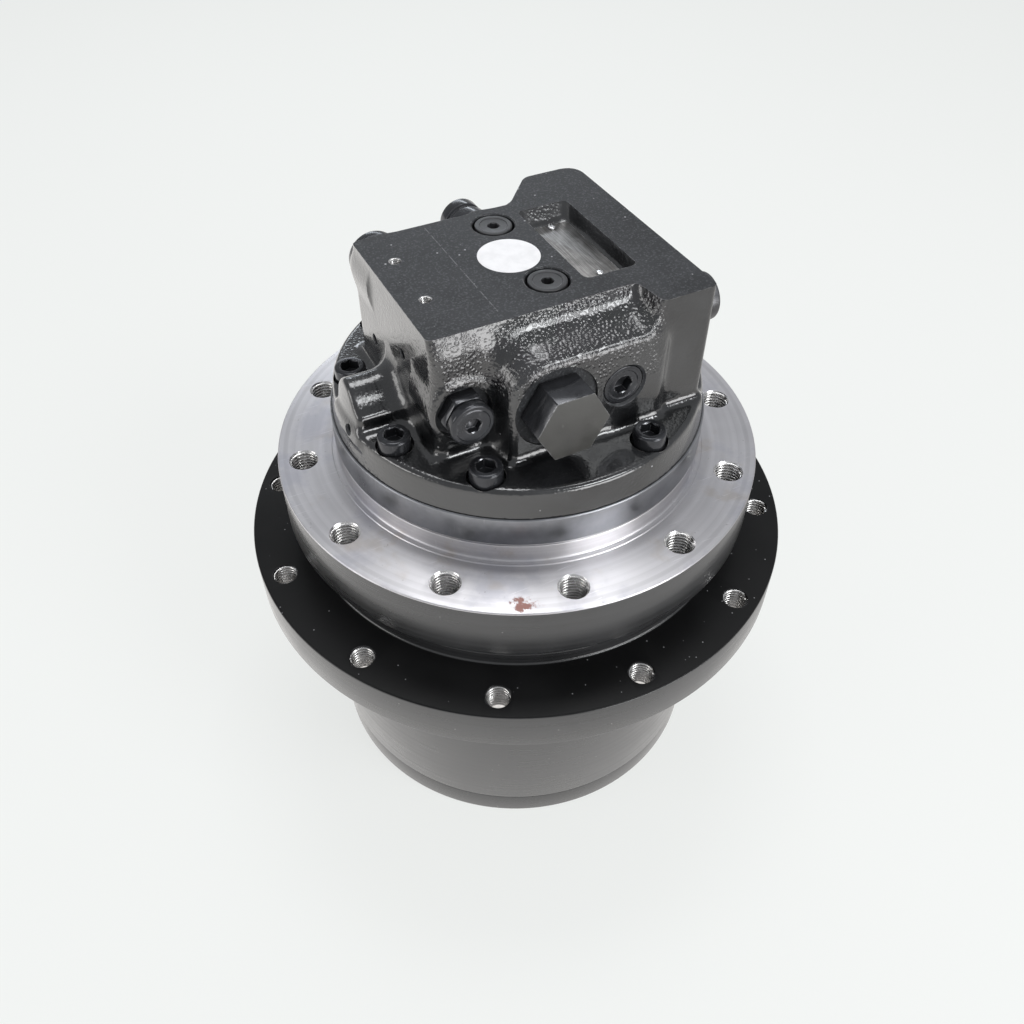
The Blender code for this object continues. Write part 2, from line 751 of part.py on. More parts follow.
# Main bearings and seal
def race_profiles(bottom, leaning_out):
    """Cone and cup of a tapered roller bearing, and the roller's mean radius, slope and size."""
    slope = tan(RACE_TAPER) * BEARING_W / 2 * (1 if leaning_out else -1)
    top = bottom + BEARING_W
    cone_r = BEARING_BORE_R + GAP + RACE_WALL
    cup_r = BEARING_OUTER_R - RACE_WALL
    cone = [(cone_r + slope, top), (cone_r - slope, bottom), (BEARING_BORE_R + GAP, bottom),
            (BEARING_BORE_R + GAP, top)]
    cup = [(BEARING_OUTER_R, top), (BEARING_OUTER_R, bottom), (cup_r - slope, bottom), (cup_r + slope, top)]
    flat_r = cup_r * cos(pi / SEGMENTS)
    return cone, cup, (cone_r + flat_r) / 2, (flat_r - cone_r) / 2 - RUNNING_GAP / 2


def main_bearing(name, bottom, leaning_out, hub_axis, roller_axis):
    cone, cup, mean_r, half_space = race_profiles(bottom, leaning_out)
    node(turned(name + "_inner_ring", cone), BRIGHT_STEEL)
    node(turned(name + "_outer_ring", cup), BRIGHT_STEEL, hub_axis)
    half_length = BEARING_W / 2 - ROLLER_END_GAP
    roller = rod("roller", half_space * cos(RACE_TAPER), -half_length, half_length, ROLLER_SIDES, CUTTERS)
    lean = RACE_TAPER if leaning_out else -RACE_TAPER
    roller.matrix_world = Matrix.Rotation(lean, 4, "Y")
    cage = turned(name + "_rollers", cage_profile(mean_r, bottom, lean, half_length))
    places = around(MAIN_ROLLER_COUNT, mean_r, 0.0, bottom + BEARING_W / 2)
    join(cage, copies(name + "_roller_set", roller, places, CUTTERS))
    node(cage, BRIGHT_STEEL, roller_axis)


def cage_profile(mean_r, bottom, lean, half_length):
    """Section of the cage ring, which laps the rollers' upper ends."""
    low = bottom + BEARING_W / 2 + half_length * cos(lean) - CAGE_LAP
    high = low + CAGE_LAP + CAGE_T / 2
    middle = mean_r + half_length * sin(lean)
    return [(middle + CAGE_T, high), (middle + CAGE_T, low), (middle - CAGE_T, low), (middle - CAGE_T, high)]


def build_bearings(hub_axis, roller_axis):
    """Two tapered roller bearings that lean opposite ways, and the nut that loads them."""
    main_bearing("lower_bearing", lower_bearing, False, hub_axis, roller_axis)
    main_bearing("upper_bearing", upper_bearing, True, hub_axis, roller_axis)
    nut = tube("bearing_nut", BEARING_BORE_R + GAP, BEARING_NUT_R, nut_bottom, nut_bottom + BEARING_NUT_T)
    node(nut, DARK_STEEL)


def build_seal(hub_axis):
    for name, side, parent in (("lower", -1, hub_axis), ("upper", 1, None)):
        face = seal_face + side * GAP / 2
        back = face + side * SEAL_RING_H
        lip = face + side * SEAL_LIP
        outline = [(SEAL_RING_OUTER_R + SEAL_LIP, face), (SEAL_RING_OUTER_R + SEAL_LIP / 2, lip),
                   (SEAL_RING_OUTER_R, back), (SEAL_RING_INNER_R, back), (SEAL_RING_INNER_R, face)]
        if side > 0:
            outline.reverse()
        node(turned(name + "_seal_ring", outline), BRIGHT_STEEL, parent)
        rubber = torus(name + "_seal_rubber", SEAL_CAVITY_R - GAP - SEAL_RUBBER_R, SEAL_RUBBER_R,
                       seal_face + side * (SEAL_RUBBER_RISE + SEAL_LIP - SEAL_RUBBER_R / 2),
                       SEGMENTS, SEAL_SIDES)
        node(rubber, RUBBER, parent)


# Motor casing
def build_casing():
    outer = [(CASING_RIM_R, casing_top), (CASING_RIM_R, pilot_top + GROOVE_H),
             (PILOT_R - GROOVE_DEPTH, pilot_top + GROOVE_H), (PILOT_R - GROOVE_DEPTH, pilot_top),
             (PILOT_R, pilot_top), (PILOT_R, frame_top),
             (FRAME_R - EDGE_CHAMFER, frame_top), (FRAME_R, frame_top - EDGE_CHAMFER),
             (FRAME_R, frame_bottom),
             (NECK_R, frame_bottom), (NECK_R, skirt_bottom), (SEAL_CAVITY_R, skirt_bottom),
             (SEAL_CAVITY_R, cavity_roof), (SPINDLE_SHOULDER_R, cavity_roof),
             (SPINDLE_SHOULDER_R, spindle_shoulder), (BEARING_BORE_R, spindle_shoulder),
             (BEARING_BORE_R, spindle_bottom), (0.0, spindle_bottom)]
    inner = [(0.0, chamber_floor), (CHAMBER_R, chamber_floor),
             (CHAMBER_R, brake_shoulder), (BRAKE_BORE_R, brake_shoulder),
             (BRAKE_BORE_R, brake_cylinder_floor), (BRAKE_CYLINDER_R, brake_cylinder_floor),
             (BRAKE_CYLINDER_R, casing_top)]
    casing = turned("motor_casing", inner + outer, closed=False)
    join(casing, planet_pins(planet_2_pcr, PLANET_2_PIN_R, stage_2_bottom, spindle_bottom + PIN_SINK))
    tunnel_top = chamber_floor + OVERRUN
    tunnel_end = spindle_bottom - OVERRUN
    bearing_r = SHAFT_BEARING_R + GAP
    tunnel = turned("shaft_tunnel", [(0.0, tunnel_top), (bearing_r, tunnel_top),
                                     (bearing_r, front_bearing - GAP), (SHAFT_SEAL_R, front_bearing - GAP),
                                     (SHAFT_SEAL_R, throat_top),
                                     (THROAT_R, throat_top), (THROAT_R, tunnel_end), (0.0, tunnel_end)],
                    FINE_SEGMENTS, False, CUTTERS)
    frame_hole = rod("frame_hole", FRAME_HOLE_R, frame_top - FRAME_HOLE_DEPTH, frame_top + OVERRUN,
                     HOLE_SEGMENTS, CUTTERS)
    screw_hole = rod("casing_screw_hole", CAP_SCREW_R + GAP, casing_top - CAP_SCREW_REACH - GAP,
                     casing_top + OVERRUN, SMALL_SEGMENTS, CUTTERS)
    speed_hole = rod("speed_piston_hole", SPEED_PISTON_R + GAP,
                     chamber_floor - SPEED_PISTON_L - SPEED_PISTON_END_GAP, chamber_floor + OVERRUN,
                     HOLE_SEGMENTS, CUTTERS)
    speed_hole.location = (-SPEED_PISTON_X, 0.0, 0.0)
    cut(casing,
        copies("frame_holes", frame_hole, around(FRAME_HOLE_COUNT, FRAME_PCR, FRAME_PHASE), CUTTERS),
        copies("casing_screw_holes", screw_hole, cap_screw_places(), CUTTERS),
        speed_hole, tunnel)
    node(casing, BLACK_PAINT)


def cap_screw_places():
    angles = [s * a for a in CAP_SCREW_ANGLES for s in (1, -1)]
    return [turn(a) @ move(CAP_SCREW_PCR) for a in angles]


# Shaft and motor internals
def shaft_bearing(name, bottom, roller_axis):
    """A roller bearing without an inner ring: its rollers run on the shaft."""
    top = bottom + SHAFT_BEARING_W
    node(tube(name + "_outer_ring", shaft_cup_r, SHAFT_BEARING_R, bottom, top, FINE_SEGMENTS), BRIGHT_STEEL)
    flat_r = shaft_cup_r * cos(pi / FINE_SEGMENTS)
    mean_r = (flat_r + SHAFT_R) / 2
    end = top - ROLLER_END_GAP
    roller_r = (flat_r - SHAFT_R) / 2 - RUNNING_GAP / 2
    roller = rod("roller", roller_r, bottom + ROLLER_END_GAP, end, ROLLER_SIDES, CUTTERS)
    cage = tube(name + "_rollers", mean_r - CAGE_T, mean_r + CAGE_T, end - CAGE_LAP, end + CAGE_T / 2,
                2 * SHAFT_ROLLER_COUNT)
    join(cage, copies(name + "_roller_set", roller, around(SHAFT_ROLLER_COUNT, mean_r), CUTTERS))
    node(cage, BRIGHT_STEEL, roller_axis)


def build_shaft(shaft_axis, roller_axis):
    tip = stage_1_bottom - GAP
    end = rear_bearing_top
    shaft = turned("drive_shaft", [(0.0, end), (SHAFT_R, end), (SHAFT_R, spindle_bottom + AXIAL_PLAY),
                                   (SHAFT_TAIL_R, spindle_bottom), (SHAFT_TAIL_R, stage_1_top + GAP),
                                   (SHAFT_TIP_R, stage_1_top + GAP), (SHAFT_TIP_R, tip), (0.0, tip)],
                   FINE_SEGMENTS, closed=False)
    node(shaft, BRIGHT_STEEL, shaft_axis)
    shaft_bearing("front_bearing", front_bearing, roller_axis)
    bush = tube("rear_bearing_bush", running_bore(SHAFT_R, FINE_SEGMENTS), SHAFT_BEARING_R, rear_bearing,
                rear_bearing_top, FINE_SEGMENTS)
    node(bush, BRONZE)
    seal = tube("shaft_seal", running_bore(SHAFT_R, FINE_SEGMENTS), SHAFT_SEAL_R - GAP, shaft_seal_bottom,
                shaft_seal_bottom + SHAFT_SEAL_T, FINE_SEGMENTS)
    node(seal, RUBBER)


def build_rotating_group(shaft_axis):
    block = tube("cylinder_block", SHAFT_R + GAP, BLOCK_R, block_bottom, block_top, GROUP_SEGMENTS)
    bore = rod("cylinder_bore", PISTON_R + GAP, block_bottom - OVERRUN, block_bottom + PISTON_BORE_DEPTH,
               SMALL_SEGMENTS, CUTTERS)
    cut(block, copies("cylinder_bores", bore, around(PISTON_COUNT, PISTON_PCR), CUTTERS))
    node(block, DARK_STEEL, shaft_axis)

    neck_bottom = slipper_bottom + SLIPPER_H
    crown = neck_bottom + PISTON_NECK_H
    piston = turned("piston", [(0.0, crown + PISTON_L), (PISTON_R, crown + PISTON_L), (PISTON_R, crown),
                               (PISTON_NECK_R, crown), (PISTON_NECK_R, neck_bottom), (SLIPPER_R, neck_bottom),
                               (SLIPPER_R, slipper_bottom), (0.0, slipper_bottom)],
                    SMALL_SEGMENTS, False, CUTTERS)
    retainer = tube("piston_set", SWASH_BORE_R, PISTON_PCR + SLIPPER_R, neck_bottom + GAP,
                    neck_bottom + GAP + RETAINER_T, GROUP_SEGMENTS)
    join(retainer, copies("pistons", piston, around(PISTON_COUNT, PISTON_PCR), CUTTERS))
    node(retainer, BRIGHT_STEEL, shaft_axis)

    plate = tube("valve_plate", SHAFT_BEARING_R + GAP - KIDNEY_W, VALVE_PLATE_R, valve_plate_bottom,
                 valve_plate_bottom + VALVE_PLATE_T, GROUP_SEGMENTS)
    inner_r = PISTON_PCR - KIDNEY_W / 2
    outer_r = PISTON_PCR + KIDNEY_W / 2
    kidney = (arc((0, 0), outer_r, -KIDNEY_SWEEP / 2, KIDNEY_SWEEP / 2, 6)
              + arc((0, 0), inner_r, KIDNEY_SWEEP / 2, -KIDNEY_SWEEP / 2, 6))
    slot = prism("kidney_slot", [kidney], valve_plate_bottom - OVERRUN,
                 valve_plate_bottom + VALVE_PLATE_T + OVERRUN, CUTTERS)
    cut(plate, copies("kidney_slots", slot, [turn(0), turn(pi)], CUTTERS))
    node(plate, BRONZE)


def build_swash(swash_axis):
    """A wedge with a tilted running face, and a second, shallower foot that it rocks down onto."""
    top = swash_mid + SWASH_R * tan(SWASH_ANGLE) + OVERRUN
    wedge = tube("swash_plate", SWASH_BORE_R, SWASH_R, swash_floor, top, GROUP_SEGMENTS)
    reach = 2 * SWASH_R
    face_rise = reach * tan(SWASH_ANGLE)
    foot_rise = reach * tan(SWASH_STEP_ANGLE)
    upper = hull("swash_upper_cut", [(x, y, z) for y in (-reach, reach) for x, z in (
        (-reach, swash_mid - face_rise), (reach, swash_mid + face_rise), (reach, top + reach),
        (-reach, top + reach))], CUTTERS)
    lower = hull("swash_lower_cut", [(x, y, z) for y in (-reach, reach) for x, z in (
        (0.0, swash_floor), (reach, swash_floor + foot_rise), (reach, swash_floor - reach),
        (0.0, swash_floor - reach))], CUTTERS)
    cut(wedge, upper, lower)
    node(wedge, BRIGHT_STEEL, swash_axis)


def build_speed_piston(piston_axis):
    piston = rod("speed_piston", SPEED_PISTON_R, chamber_floor - SPEED_PISTON_L, chamber_floor, HOLE_SEGMENTS)
    piston.location = (-SPEED_PISTON_X, 0.0, 0.0)
    node(piston, BRIGHT_STEEL, piston_axis)


def build_brake(shaft_axis, brake_axis):
    """A friction disc driven by the cylinder block, and the steel plate held in the casing above it."""
    lap_inner = BLOCK_R + GAP + BRAKE_DISC_LAP
    lap_outer = BRAKE_BORE_R - GAP - BRAKE_DISC_LAP
    disc_bottom = brake_shoulder + GAP
    plate_bottom = disc_bottom + BRAKE_DISC_T + GAP
    level = plate_bottom + BRAKE_DISC_T + GAP
    disc = tube("friction_disc", BLOCK_R + GAP, lap_outer, disc_bottom, disc_bottom + BRAKE_DISC_T,
                GROUP_SEGMENTS)
    node(disc, BRONZE, shaft_axis)
    plate = tube("steel_plate", lap_inner, BRAKE_BORE_R - GAP, plate_bottom, plate_bottom + BRAKE_DISC_T)
    node(plate, BRIGHT_STEEL)

    step = brake_cylinder_floor + BRAKE_PISTON_LIFT_ROOM / 2
    spring_h = BRAKE_SPRING_T + BRAKE_PISTON_LIFT_ROOM
    piston_top = rear_cover_bottom - GAP - spring_h - BRAKE_SPRING_T - GAP
    piston = turned("brake_piston", [(BRAKE_CYLINDER_R - GAP, piston_top), (BRAKE_CYLINDER_R - GAP, step),
                                     (BRAKE_BORE_R - GAP, step), (BRAKE_BORE_R - GAP, level),
                                     (BRAKE_PISTON_INNER_R, level), (BRAKE_PISTON_INNER_R, piston_top)])
    node(piston, BRIGHT_STEEL, brake_axis)
    rim = BRAKE_CYLINDER_R - 2 * GAP
    foot = piston_top + GAP
    crown = rear_cover_bottom - GAP
    spring = turned("brake_spring", [(rim, foot + BRAKE_SPRING_T), (rim, foot),
                                     (BRAKE_SPRING_INNER_R, crown - BRAKE_SPRING_T),
                                     (BRAKE_SPRING_INNER_R, crown)])
    node(spring, DARK_STEEL)


# Rear cover
def head_cutter(name, place, direction, radius, depth, segments=HOLE_SEGMENTS):
    """A bore that enters a face at a point and runs inward, against the face's own direction."""
    tool = rod(name, radius, -depth, OVERRUN, segments, CUTTERS)
    tool.matrix_world = facing(place, direction)
    return tool


def front_place(x, face):
    return (x, face, port_z)


def build_rear_cover():
    z = disc_top
    profile = [(0.0, z), (REAR_DISC_TOP_R - REAR_DISC_ROUND, z), (REAR_DISC_TOP_R, z - REAR_DISC_ROUND),
               (REAR_DISC_R, rear_cover_bottom), (REAR_BOSS_R, rear_cover_bottom), (REAR_BOSS_R, valve_face),
               (0.0, valve_face)]
    cover = turned("rear_cover", profile, closed=False)
    bearing_bore = rod("rear_bearing_bore", SHAFT_BEARING_R + GAP, valve_face - OVERRUN,
                       rear_bearing_top + SHAFT_END_GAP, FINE_SEGMENTS, CUTTERS)
    base = z - HEAD_SINK
    shoulder = head_top - HEAD_SHOULDER_H
    inset = HEAD_Y - HEAD_TOP_INSET
    block = hull("head_block", [(x, y, h) for x in (-HEAD_X, WING_INNER_X) for y, h in (
        (-HEAD_Y, base), (-HEAD_Y, shoulder), (-inset, head_top), (inset, head_top), (HEAD_Y, shoulder),
        (HEAD_Y, base))], CUTTERS)
    bevel(block, HEAD_BEVEL)

    back_x = WING_INNER_X - WING_CHAMFER
    back_y = WING_Y - WING_CHAMFER
    wing_outline = [(WING_INNER_X, -WING_Y), (WING_X, -WING_Y), (WING_X, WING_Y), (WING_INNER_X, WING_Y),
                    (back_x, back_y), (back_x, 0.0), (WING_INNER_X, 0.0)]
    wing = prism("head_wing", [wing_outline], base, head_top, CUTTERS)
    ramp_x = WING_INNER_X - WING_RAMP
    ramp_end = WING_X - WING_RAMP
    ramp = hull("head_ramp", [(x, y, h) for y in (-WING_Y, -back_y) for x, h in (
        (ramp_x, base), (ramp_x, head_top - WING_RAMP_H), (WING_INNER_X, head_top), (ramp_end, head_top),
        (ramp_end, base))], CUTTERS)

    boss = hull("front_boss", front_boss_points(base), CUTTERS)
    ridge = build_ridge(base)
    pad = hull("back_pad", [(x, y, h) for x in (-BACK_PAD_X - BACK_PAD_W / 2, -BACK_PAD_X + BACK_PAD_W / 2)
                            for y in (0.0, HEAD_Y + BACK_PAD_T) for h in (
                                shoulder - BACK_PAD_H, shoulder)], CUTTERS)
    join(cover, block, wing, ramp, boss, ridge, pad)
    cut(cover, bearing_bore, *screw_cutters(), *port_cutters(), pocket_cutter())
    node(cover, BLACK_PAINT)


def front_boss_points(base):
    """Front face of the valve boss, and the wider section where it grows out of the block."""
    top = head_top - FRONT_BOSS_TOP
    corner = FRONT_BOSS_CORNER
    left = arc((-FRONT_BOSS_LEFT + corner, top - corner), corner, pi, pi / 2, 4)
    right = arc((FRONT_BOSS_RIGHT - corner, top - corner), corner, pi / 2, 0.0, 4)
    face = [(-FRONT_BOSS_LEFT, base)] + left + right + [(FRONT_BOSS_RIGHT, base)]
    points = [(x, head_front, h) for x, h in face]
    for x, h in face:
        spread = -FRONT_BOSS_DRAFT if x < 0 else 0.0
        rise = FRONT_BOSS_RISE if h > base else 0.0
        points.append((x + spread, -(HEAD_Y - HEAD_TOP_INSET), h + rise))
    return points


def build_ridge(base):
    """Ridge over the drilled gallery that runs from the head out to the rim of the disc."""
    step = disc_top + RIDGE_STEP
    crest = disc_top + RIDGE_CREST
    ridge = prism("gallery_ridge", [[(RIDGE_BACK, base), (RIDGE_BACK, step), (RIDGE_BACK / 2, crest),
                                     (-RIDGE_BACK / 2, crest - RIDGE_BEVEL), (-RIDGE_NOSE, step),
                                     (-RIDGE_FRONT + RIDGE_NOSE, step),
                                     (-RIDGE_FRONT + RIDGE_BEVEL, step - RIDGE_BEVEL), (-RIDGE_FRONT, base)]],
                  HEAD_X - OVERRUN, REAR_DISC_R + OVERRUN, CUTTERS,
                  Matrix(((0, 0, -1, 0), (1, 0, 0, 0), (0, 1, 0, 0), (0, 0, 0, 1))))
    rim = rod("ridge_rim", REAR_DISC_TOP_R - GAP, base - OVERRUN, crest + OVERRUN, SEGMENTS, CUTTERS)
    return combine(ridge, rim, "INTERSECT")


def screw_cutters():
    seat = disc_top - CAP_SCREW_SPOT_DEPTH
    hole = rod("cap_screw_hole", CAP_SCREW_R + GAP, rear_cover_bottom - OVERRUN, disc_top, SMALL_SEGMENTS,
               CUTTERS)
    spot = rod("cap_screw_spot", CAP_SCREW_SPOT_R, seat, disc_top + RIDGE_CREST + OVERRUN, HOLE_SEGMENTS,
               CUTTERS)
    return (copies("cap_screw_holes", hole, cap_screw_places(), CUTTERS),
            copies("cap_screw_spots", spot, cap_screw_places(), CUTTERS))


def top_plug_places():
    return [(TOP_PLUG_X, TOP_PLUG_SHIFT + s * TOP_PLUG_Y, head_top) for s in (1, -1)]


def port_cutters():
    front, back, right, up = (0, -1, 0), (0, 1, 0), (1, 0, 0), (0, 0, 1)
    spool_depth = BIG_PLUG_STEM_L + SPOOL_L + 2 * (SPOOL_TRAVEL + SPOOL_END_GAP)
    tools = [
        head_cutter("big_spotface", front_place(BIG_PLUG_X, head_front), front, BIG_PLUG_SPOT_R,
                    SPOTFACE_DEPTH, FINE_SEGMENTS),
        head_cutter("big_plug_bore", front_place(BIG_PLUG_X, head_front), front, BIG_PLUG_STEM_R + GAP,
                    BIG_PLUG_STEM_L + GAP),
        head_cutter("spool_bore", front_place(BIG_PLUG_X, head_front), front, SPOOL_R + GAP, spool_depth),
        head_cutter("relief_spotface", front_place(RELIEF_X, -HEAD_Y), front, RELIEF_SPOT_R, SPOTFACE_DEPTH,
                    FINE_SEGMENTS),
        head_cutter("relief_bore", front_place(RELIEF_X, -HEAD_Y), front, RELIEF_STEM_R + GAP,
                    SPOTFACE_DEPTH + RELIEF_STEM_L + GAP),
        head_cutter("front_port", front_place(FRONT_PLUG_X, head_front), front, PORT_PLUG_R + GAP,
                    PORT_PLUG_T + GAP),
        head_cutter("side_plug_bore", (WING_X, SIDE_PLUG_Y, head_top - SIDE_PLUG_DROP), right,
                    SIDE_PLUG_STEM_R + GAP, SIDE_PLUG_STEM_L + GAP),
        head_cutter("back_cap_bore", (BACK_CAP_X, HEAD_Y, head_top - BACK_DROP), back, BACK_CAP_STEM_R + GAP,
                    BACK_CAP_STEM_L + GAP),
        head_cutter("back_fitting_bore", (BACK_FITTING_X, HEAD_Y, head_top - BACK_DROP), back,
                    BACK_CAP_STEM_R + GAP, BACK_CAP_STEM_L + GAP)]
    for i, place in enumerate(top_plug_places()):
        tools.append(head_cutter("top_port_%d" % i, place, up, TOP_PLUG_R + TOP_PLUG_GROOVE,
                                 TOP_PLUG_T + GAP))
    for i, side in enumerate((1, -1)):
        place = (TAPPED_X, TAPPED_SHIFT + side * TAPPED_Y, head_top)
        tools.append(head_cutter("tapped_hole_%d" % i, place, up, TAPPED_R, TAPPED_DEPTH, SMALL_SEGMENTS))
    return tools


def pocket_outline():
    return [(POCKET_LEFT, -POCKET_FRONT), (POCKET_RIGHT - POCKET_CORNER, -POCKET_FRONT),
            (POCKET_RIGHT, -POCKET_FRONT + POCKET_CORNER), (POCKET_RIGHT, POCKET_BACK),
            (POCKET_LEFT, POCKET_BACK)]


def pocket_cutter():
    return prism("plate_pocket", [pocket_outline()], head_top - POCKET_DEPTH, head_top + OVERRUN, CUTTERS)


# What screws into the head
def headed_plug(name, head_r, head_h, stem_r, stem_l, segments, matrix, stem_segments=HOLE_SEGMENTS):
    """A plug whose head stands on a face and whose stem fills the bore below it."""
    head = rod(name, head_r, GAP, GAP + head_h, segments)
    stem = rod(name + "_stem", stem_r, -stem_l, GAP + OVERRUN, stem_segments, CUTTERS)
    join(head, stem)
    head.matrix_world = matrix
    stem.matrix_world = matrix
    return head


def flush_plug(name, radius, thickness, key_r, place, direction):
    """A screwed plug level with its face, with a hexagon socket."""
    plug = rod(name, radius, -thickness, -GAP)
    key = rod(name + "_key", key_r, -PORT_PLUG_KEY_DEPTH, OVERRUN, HEX, CUTTERS)
    plug.matrix_world = facing(place, direction)
    key.matrix_world = facing(place, direction)
    cut(plug, key)
    node(plug, BLACK_STEEL)


def build_head_fittings(spool_axis):
    front, back, right, up = (0, -1, 0), (0, 1, 0), (1, 0, 0), (0, 0, 1)
    big_seat = facing(front_place(BIG_PLUG_X, head_front + SPOTFACE_DEPTH), front)
    big = headed_plug("counterbalance_plug", BIG_PLUG_HEX_R, BIG_PLUG_HEAD_H, BIG_PLUG_STEM_R,
                      BIG_PLUG_STEM_L - SPOTFACE_DEPTH, HEX, big_seat)
    node(big, BLACK_STEEL)

    relief_seat = facing(front_place(RELIEF_X, -HEAD_Y + SPOTFACE_DEPTH), front)
    node(headed_plug("relief_valve_body", RELIEF_HEX_R, RELIEF_HEX_H, RELIEF_STEM_R, RELIEF_STEM_L, HEX,
                     relief_seat), BLACK_STEEL)
    cap_top = RELIEF_HEX_H + RELIEF_CAP_H
    cap = rod("relief_valve_cap", RELIEF_CAP_R, RELIEF_HEX_H + 2 * GAP, cap_top, FINE_SEGMENTS)
    key = rod("relief_cap_key", RELIEF_KEY_R, cap_top - RELIEF_KEY_DEPTH, cap_top + OVERRUN, HEX, CUTTERS)
    cap.matrix_world = relief_seat
    key.matrix_world = relief_seat
    cut(cap, key)
    node(cap, BLACK_STEEL)

    flush_plug("front_port_plug", PORT_PLUG_R, PORT_PLUG_T, PORT_PLUG_KEY_R,
               front_place(FRONT_PLUG_X, head_front), front)
    for i, place in enumerate(top_plug_places()):
        flush_plug("top_port_plug_%d" % (i + 1), TOP_PLUG_R, TOP_PLUG_T, TOP_PLUG_KEY_R, place, up)

    node(headed_plug("side_plug", SIDE_PLUG_R, SIDE_PLUG_H, SIDE_PLUG_STEM_R, SIDE_PLUG_STEM_L, FINE_SEGMENTS,
                     facing((WING_X, SIDE_PLUG_Y, head_top - SIDE_PLUG_DROP), right)), DARK_STEEL)
    node(headed_plug("spool_cap", BACK_CAP_R, BACK_CAP_H, BACK_CAP_STEM_R, BACK_CAP_STEM_L, FINE_SEGMENTS,
                     facing((BACK_CAP_X, HEAD_Y, head_top - BACK_DROP), back)), BLACK_STEEL)
    fitting_seat = facing((BACK_FITTING_X, HEAD_Y, head_top - BACK_DROP), back)
    fitting = headed_plug("brake_port_fitting", BACK_FITTING_R, BACK_FITTING_L, BACK_CAP_STEM_R,
                          BACK_CAP_STEM_L, FINE_SEGMENTS, fitting_seat)
    bore = rod("fitting_bore", BACK_FITTING_BORE_R, BACK_FITTING_L - BACK_FITTING_BORE_DEPTH,
               BACK_FITTING_L + OVERRUN, HOLE_SEGMENTS, CUTTERS)
    bore.matrix_world = fitting_seat
    cut(fitting, bore)
    node(fitting, BLACK_STEEL)

    build_spool(spool_axis)
    build_cap_screws()
    build_nameplate()


def build_spool(axis):
    """Counterbalance spool: lands that fill the bore, with narrow waists between them."""
    waist = (SPOOL_L - SPOOL_LAND_COUNT * SPOOL_LAND) / (SPOOL_LAND_COUNT - 1)
    profile = [(0.0, SPOOL_L)]
    for i in range(SPOOL_LAND_COUNT):
        top = SPOOL_L - i * (SPOOL_LAND + waist)
        profile += [(SPOOL_R, top), (SPOOL_R, top - SPOOL_LAND)]
        if i < SPOOL_LAND_COUNT - 1:
            profile += [(SPOOL_WAIST_R, top - SPOOL_LAND), (SPOOL_WAIST_R, top - SPOOL_LAND - waist)]
    profile.append((0.0, 0.0))
    spool = turned("counterbalance_spool", profile, HOLE_SEGMENTS, closed=False)
    start = head_front + BIG_PLUG_STEM_L + GAP + SPOOL_TRAVEL + SPOOL_END_GAP
    spool.matrix_world = facing((BIG_PLUG_X, start, port_z), (0, 1, 0))
    node(spool, BRIGHT_STEEL, axis)


def build_cap_screws():
    seat = disc_top - CAP_SCREW_SPOT_DEPTH + GAP
    top = seat + CAP_SCREW_HEAD_H
    foot = casing_top - CAP_SCREW_REACH
    profile = [(0.0, top), (CAP_SCREW_HEAD_R, top), (CAP_SCREW_HEAD_R, seat), (CAP_SCREW_R, seat),
               (CAP_SCREW_R, foot), (0.0, foot)]
    for i, place in enumerate(cap_screw_places()):
        screw = turned("cap_screw_%d" % (i + 1), profile, SMALL_SEGMENTS, closed=False)
        key = rod("cap_screw_key", CAP_SCREW_KEY_R, top - CAP_SCREW_KEY_DEPTH, top + OVERRUN, HEX, CUTTERS)
        screw.matrix_world = place
        key.matrix_world = place
        cut(screw, key)
        node(screw, BLACK_STEEL)


def build_nameplate():
    floor = head_top - POCKET_DEPTH
    x = (POCKET_LEFT + POCKET_RIGHT) / 2
    y = (POCKET_BACK - POCKET_FRONT) / 2
    bpy.ops.mesh.primitive_cube_add(size=UNIT, location=(x, y, floor + GAP + PLATE_T / 2))
    plate = bpy.context.object
    plate.scale = (PLATE_W, PLATE_L, PLATE_T)
    plate.name = "nameplate"
    for col in list(plate.users_collection):
        col.objects.unlink(plate)
    PARTS.objects.link(plate)
    node(plate, ALUMINIUM)


# Assembly
def main():
    origin = (0.0, 0.0, 0.0)
    hub_axis = axis_empty("hub_axis", origin)
    carrier_axis = axis_empty("carrier_axis", origin)
    shaft_axis = axis_empty("shaft_axis", origin)
    main_roller_axis = axis_empty("main_roller_axis", origin)
    shaft_roller_axis = axis_empty("shaft_roller_axis", origin)
    swash_axis = axis_empty("swash_axis", (0.0, 0.0, swash_floor))
    brake_axis = axis_empty("brake_axis", origin)
    speed_axis = axis_empty("speed_piston_axis", (-SPEED_PISTON_X, 0.0, chamber_floor))
    spool_axis = axis_empty("spool_axis", (BIG_PLUG_X, 0.0, port_z))

    build_cover(hub_axis)
    build_hub(hub_axis)
    build_stage_1(carrier_axis, shaft_axis)
    build_stage_2(carrier_axis)
    build_bearings(hub_axis, main_roller_axis)
    build_seal(hub_axis)
    build_casing()
    build_shaft(shaft_axis, shaft_roller_axis)
    build_rotating_group(shaft_axis)
    build_swash(swash_axis)
    build_speed_piston(speed_axis)
    build_brake(shaft_axis, brake_axis)
    build_rear_cover()
    build_head_fittings(spool_axis)


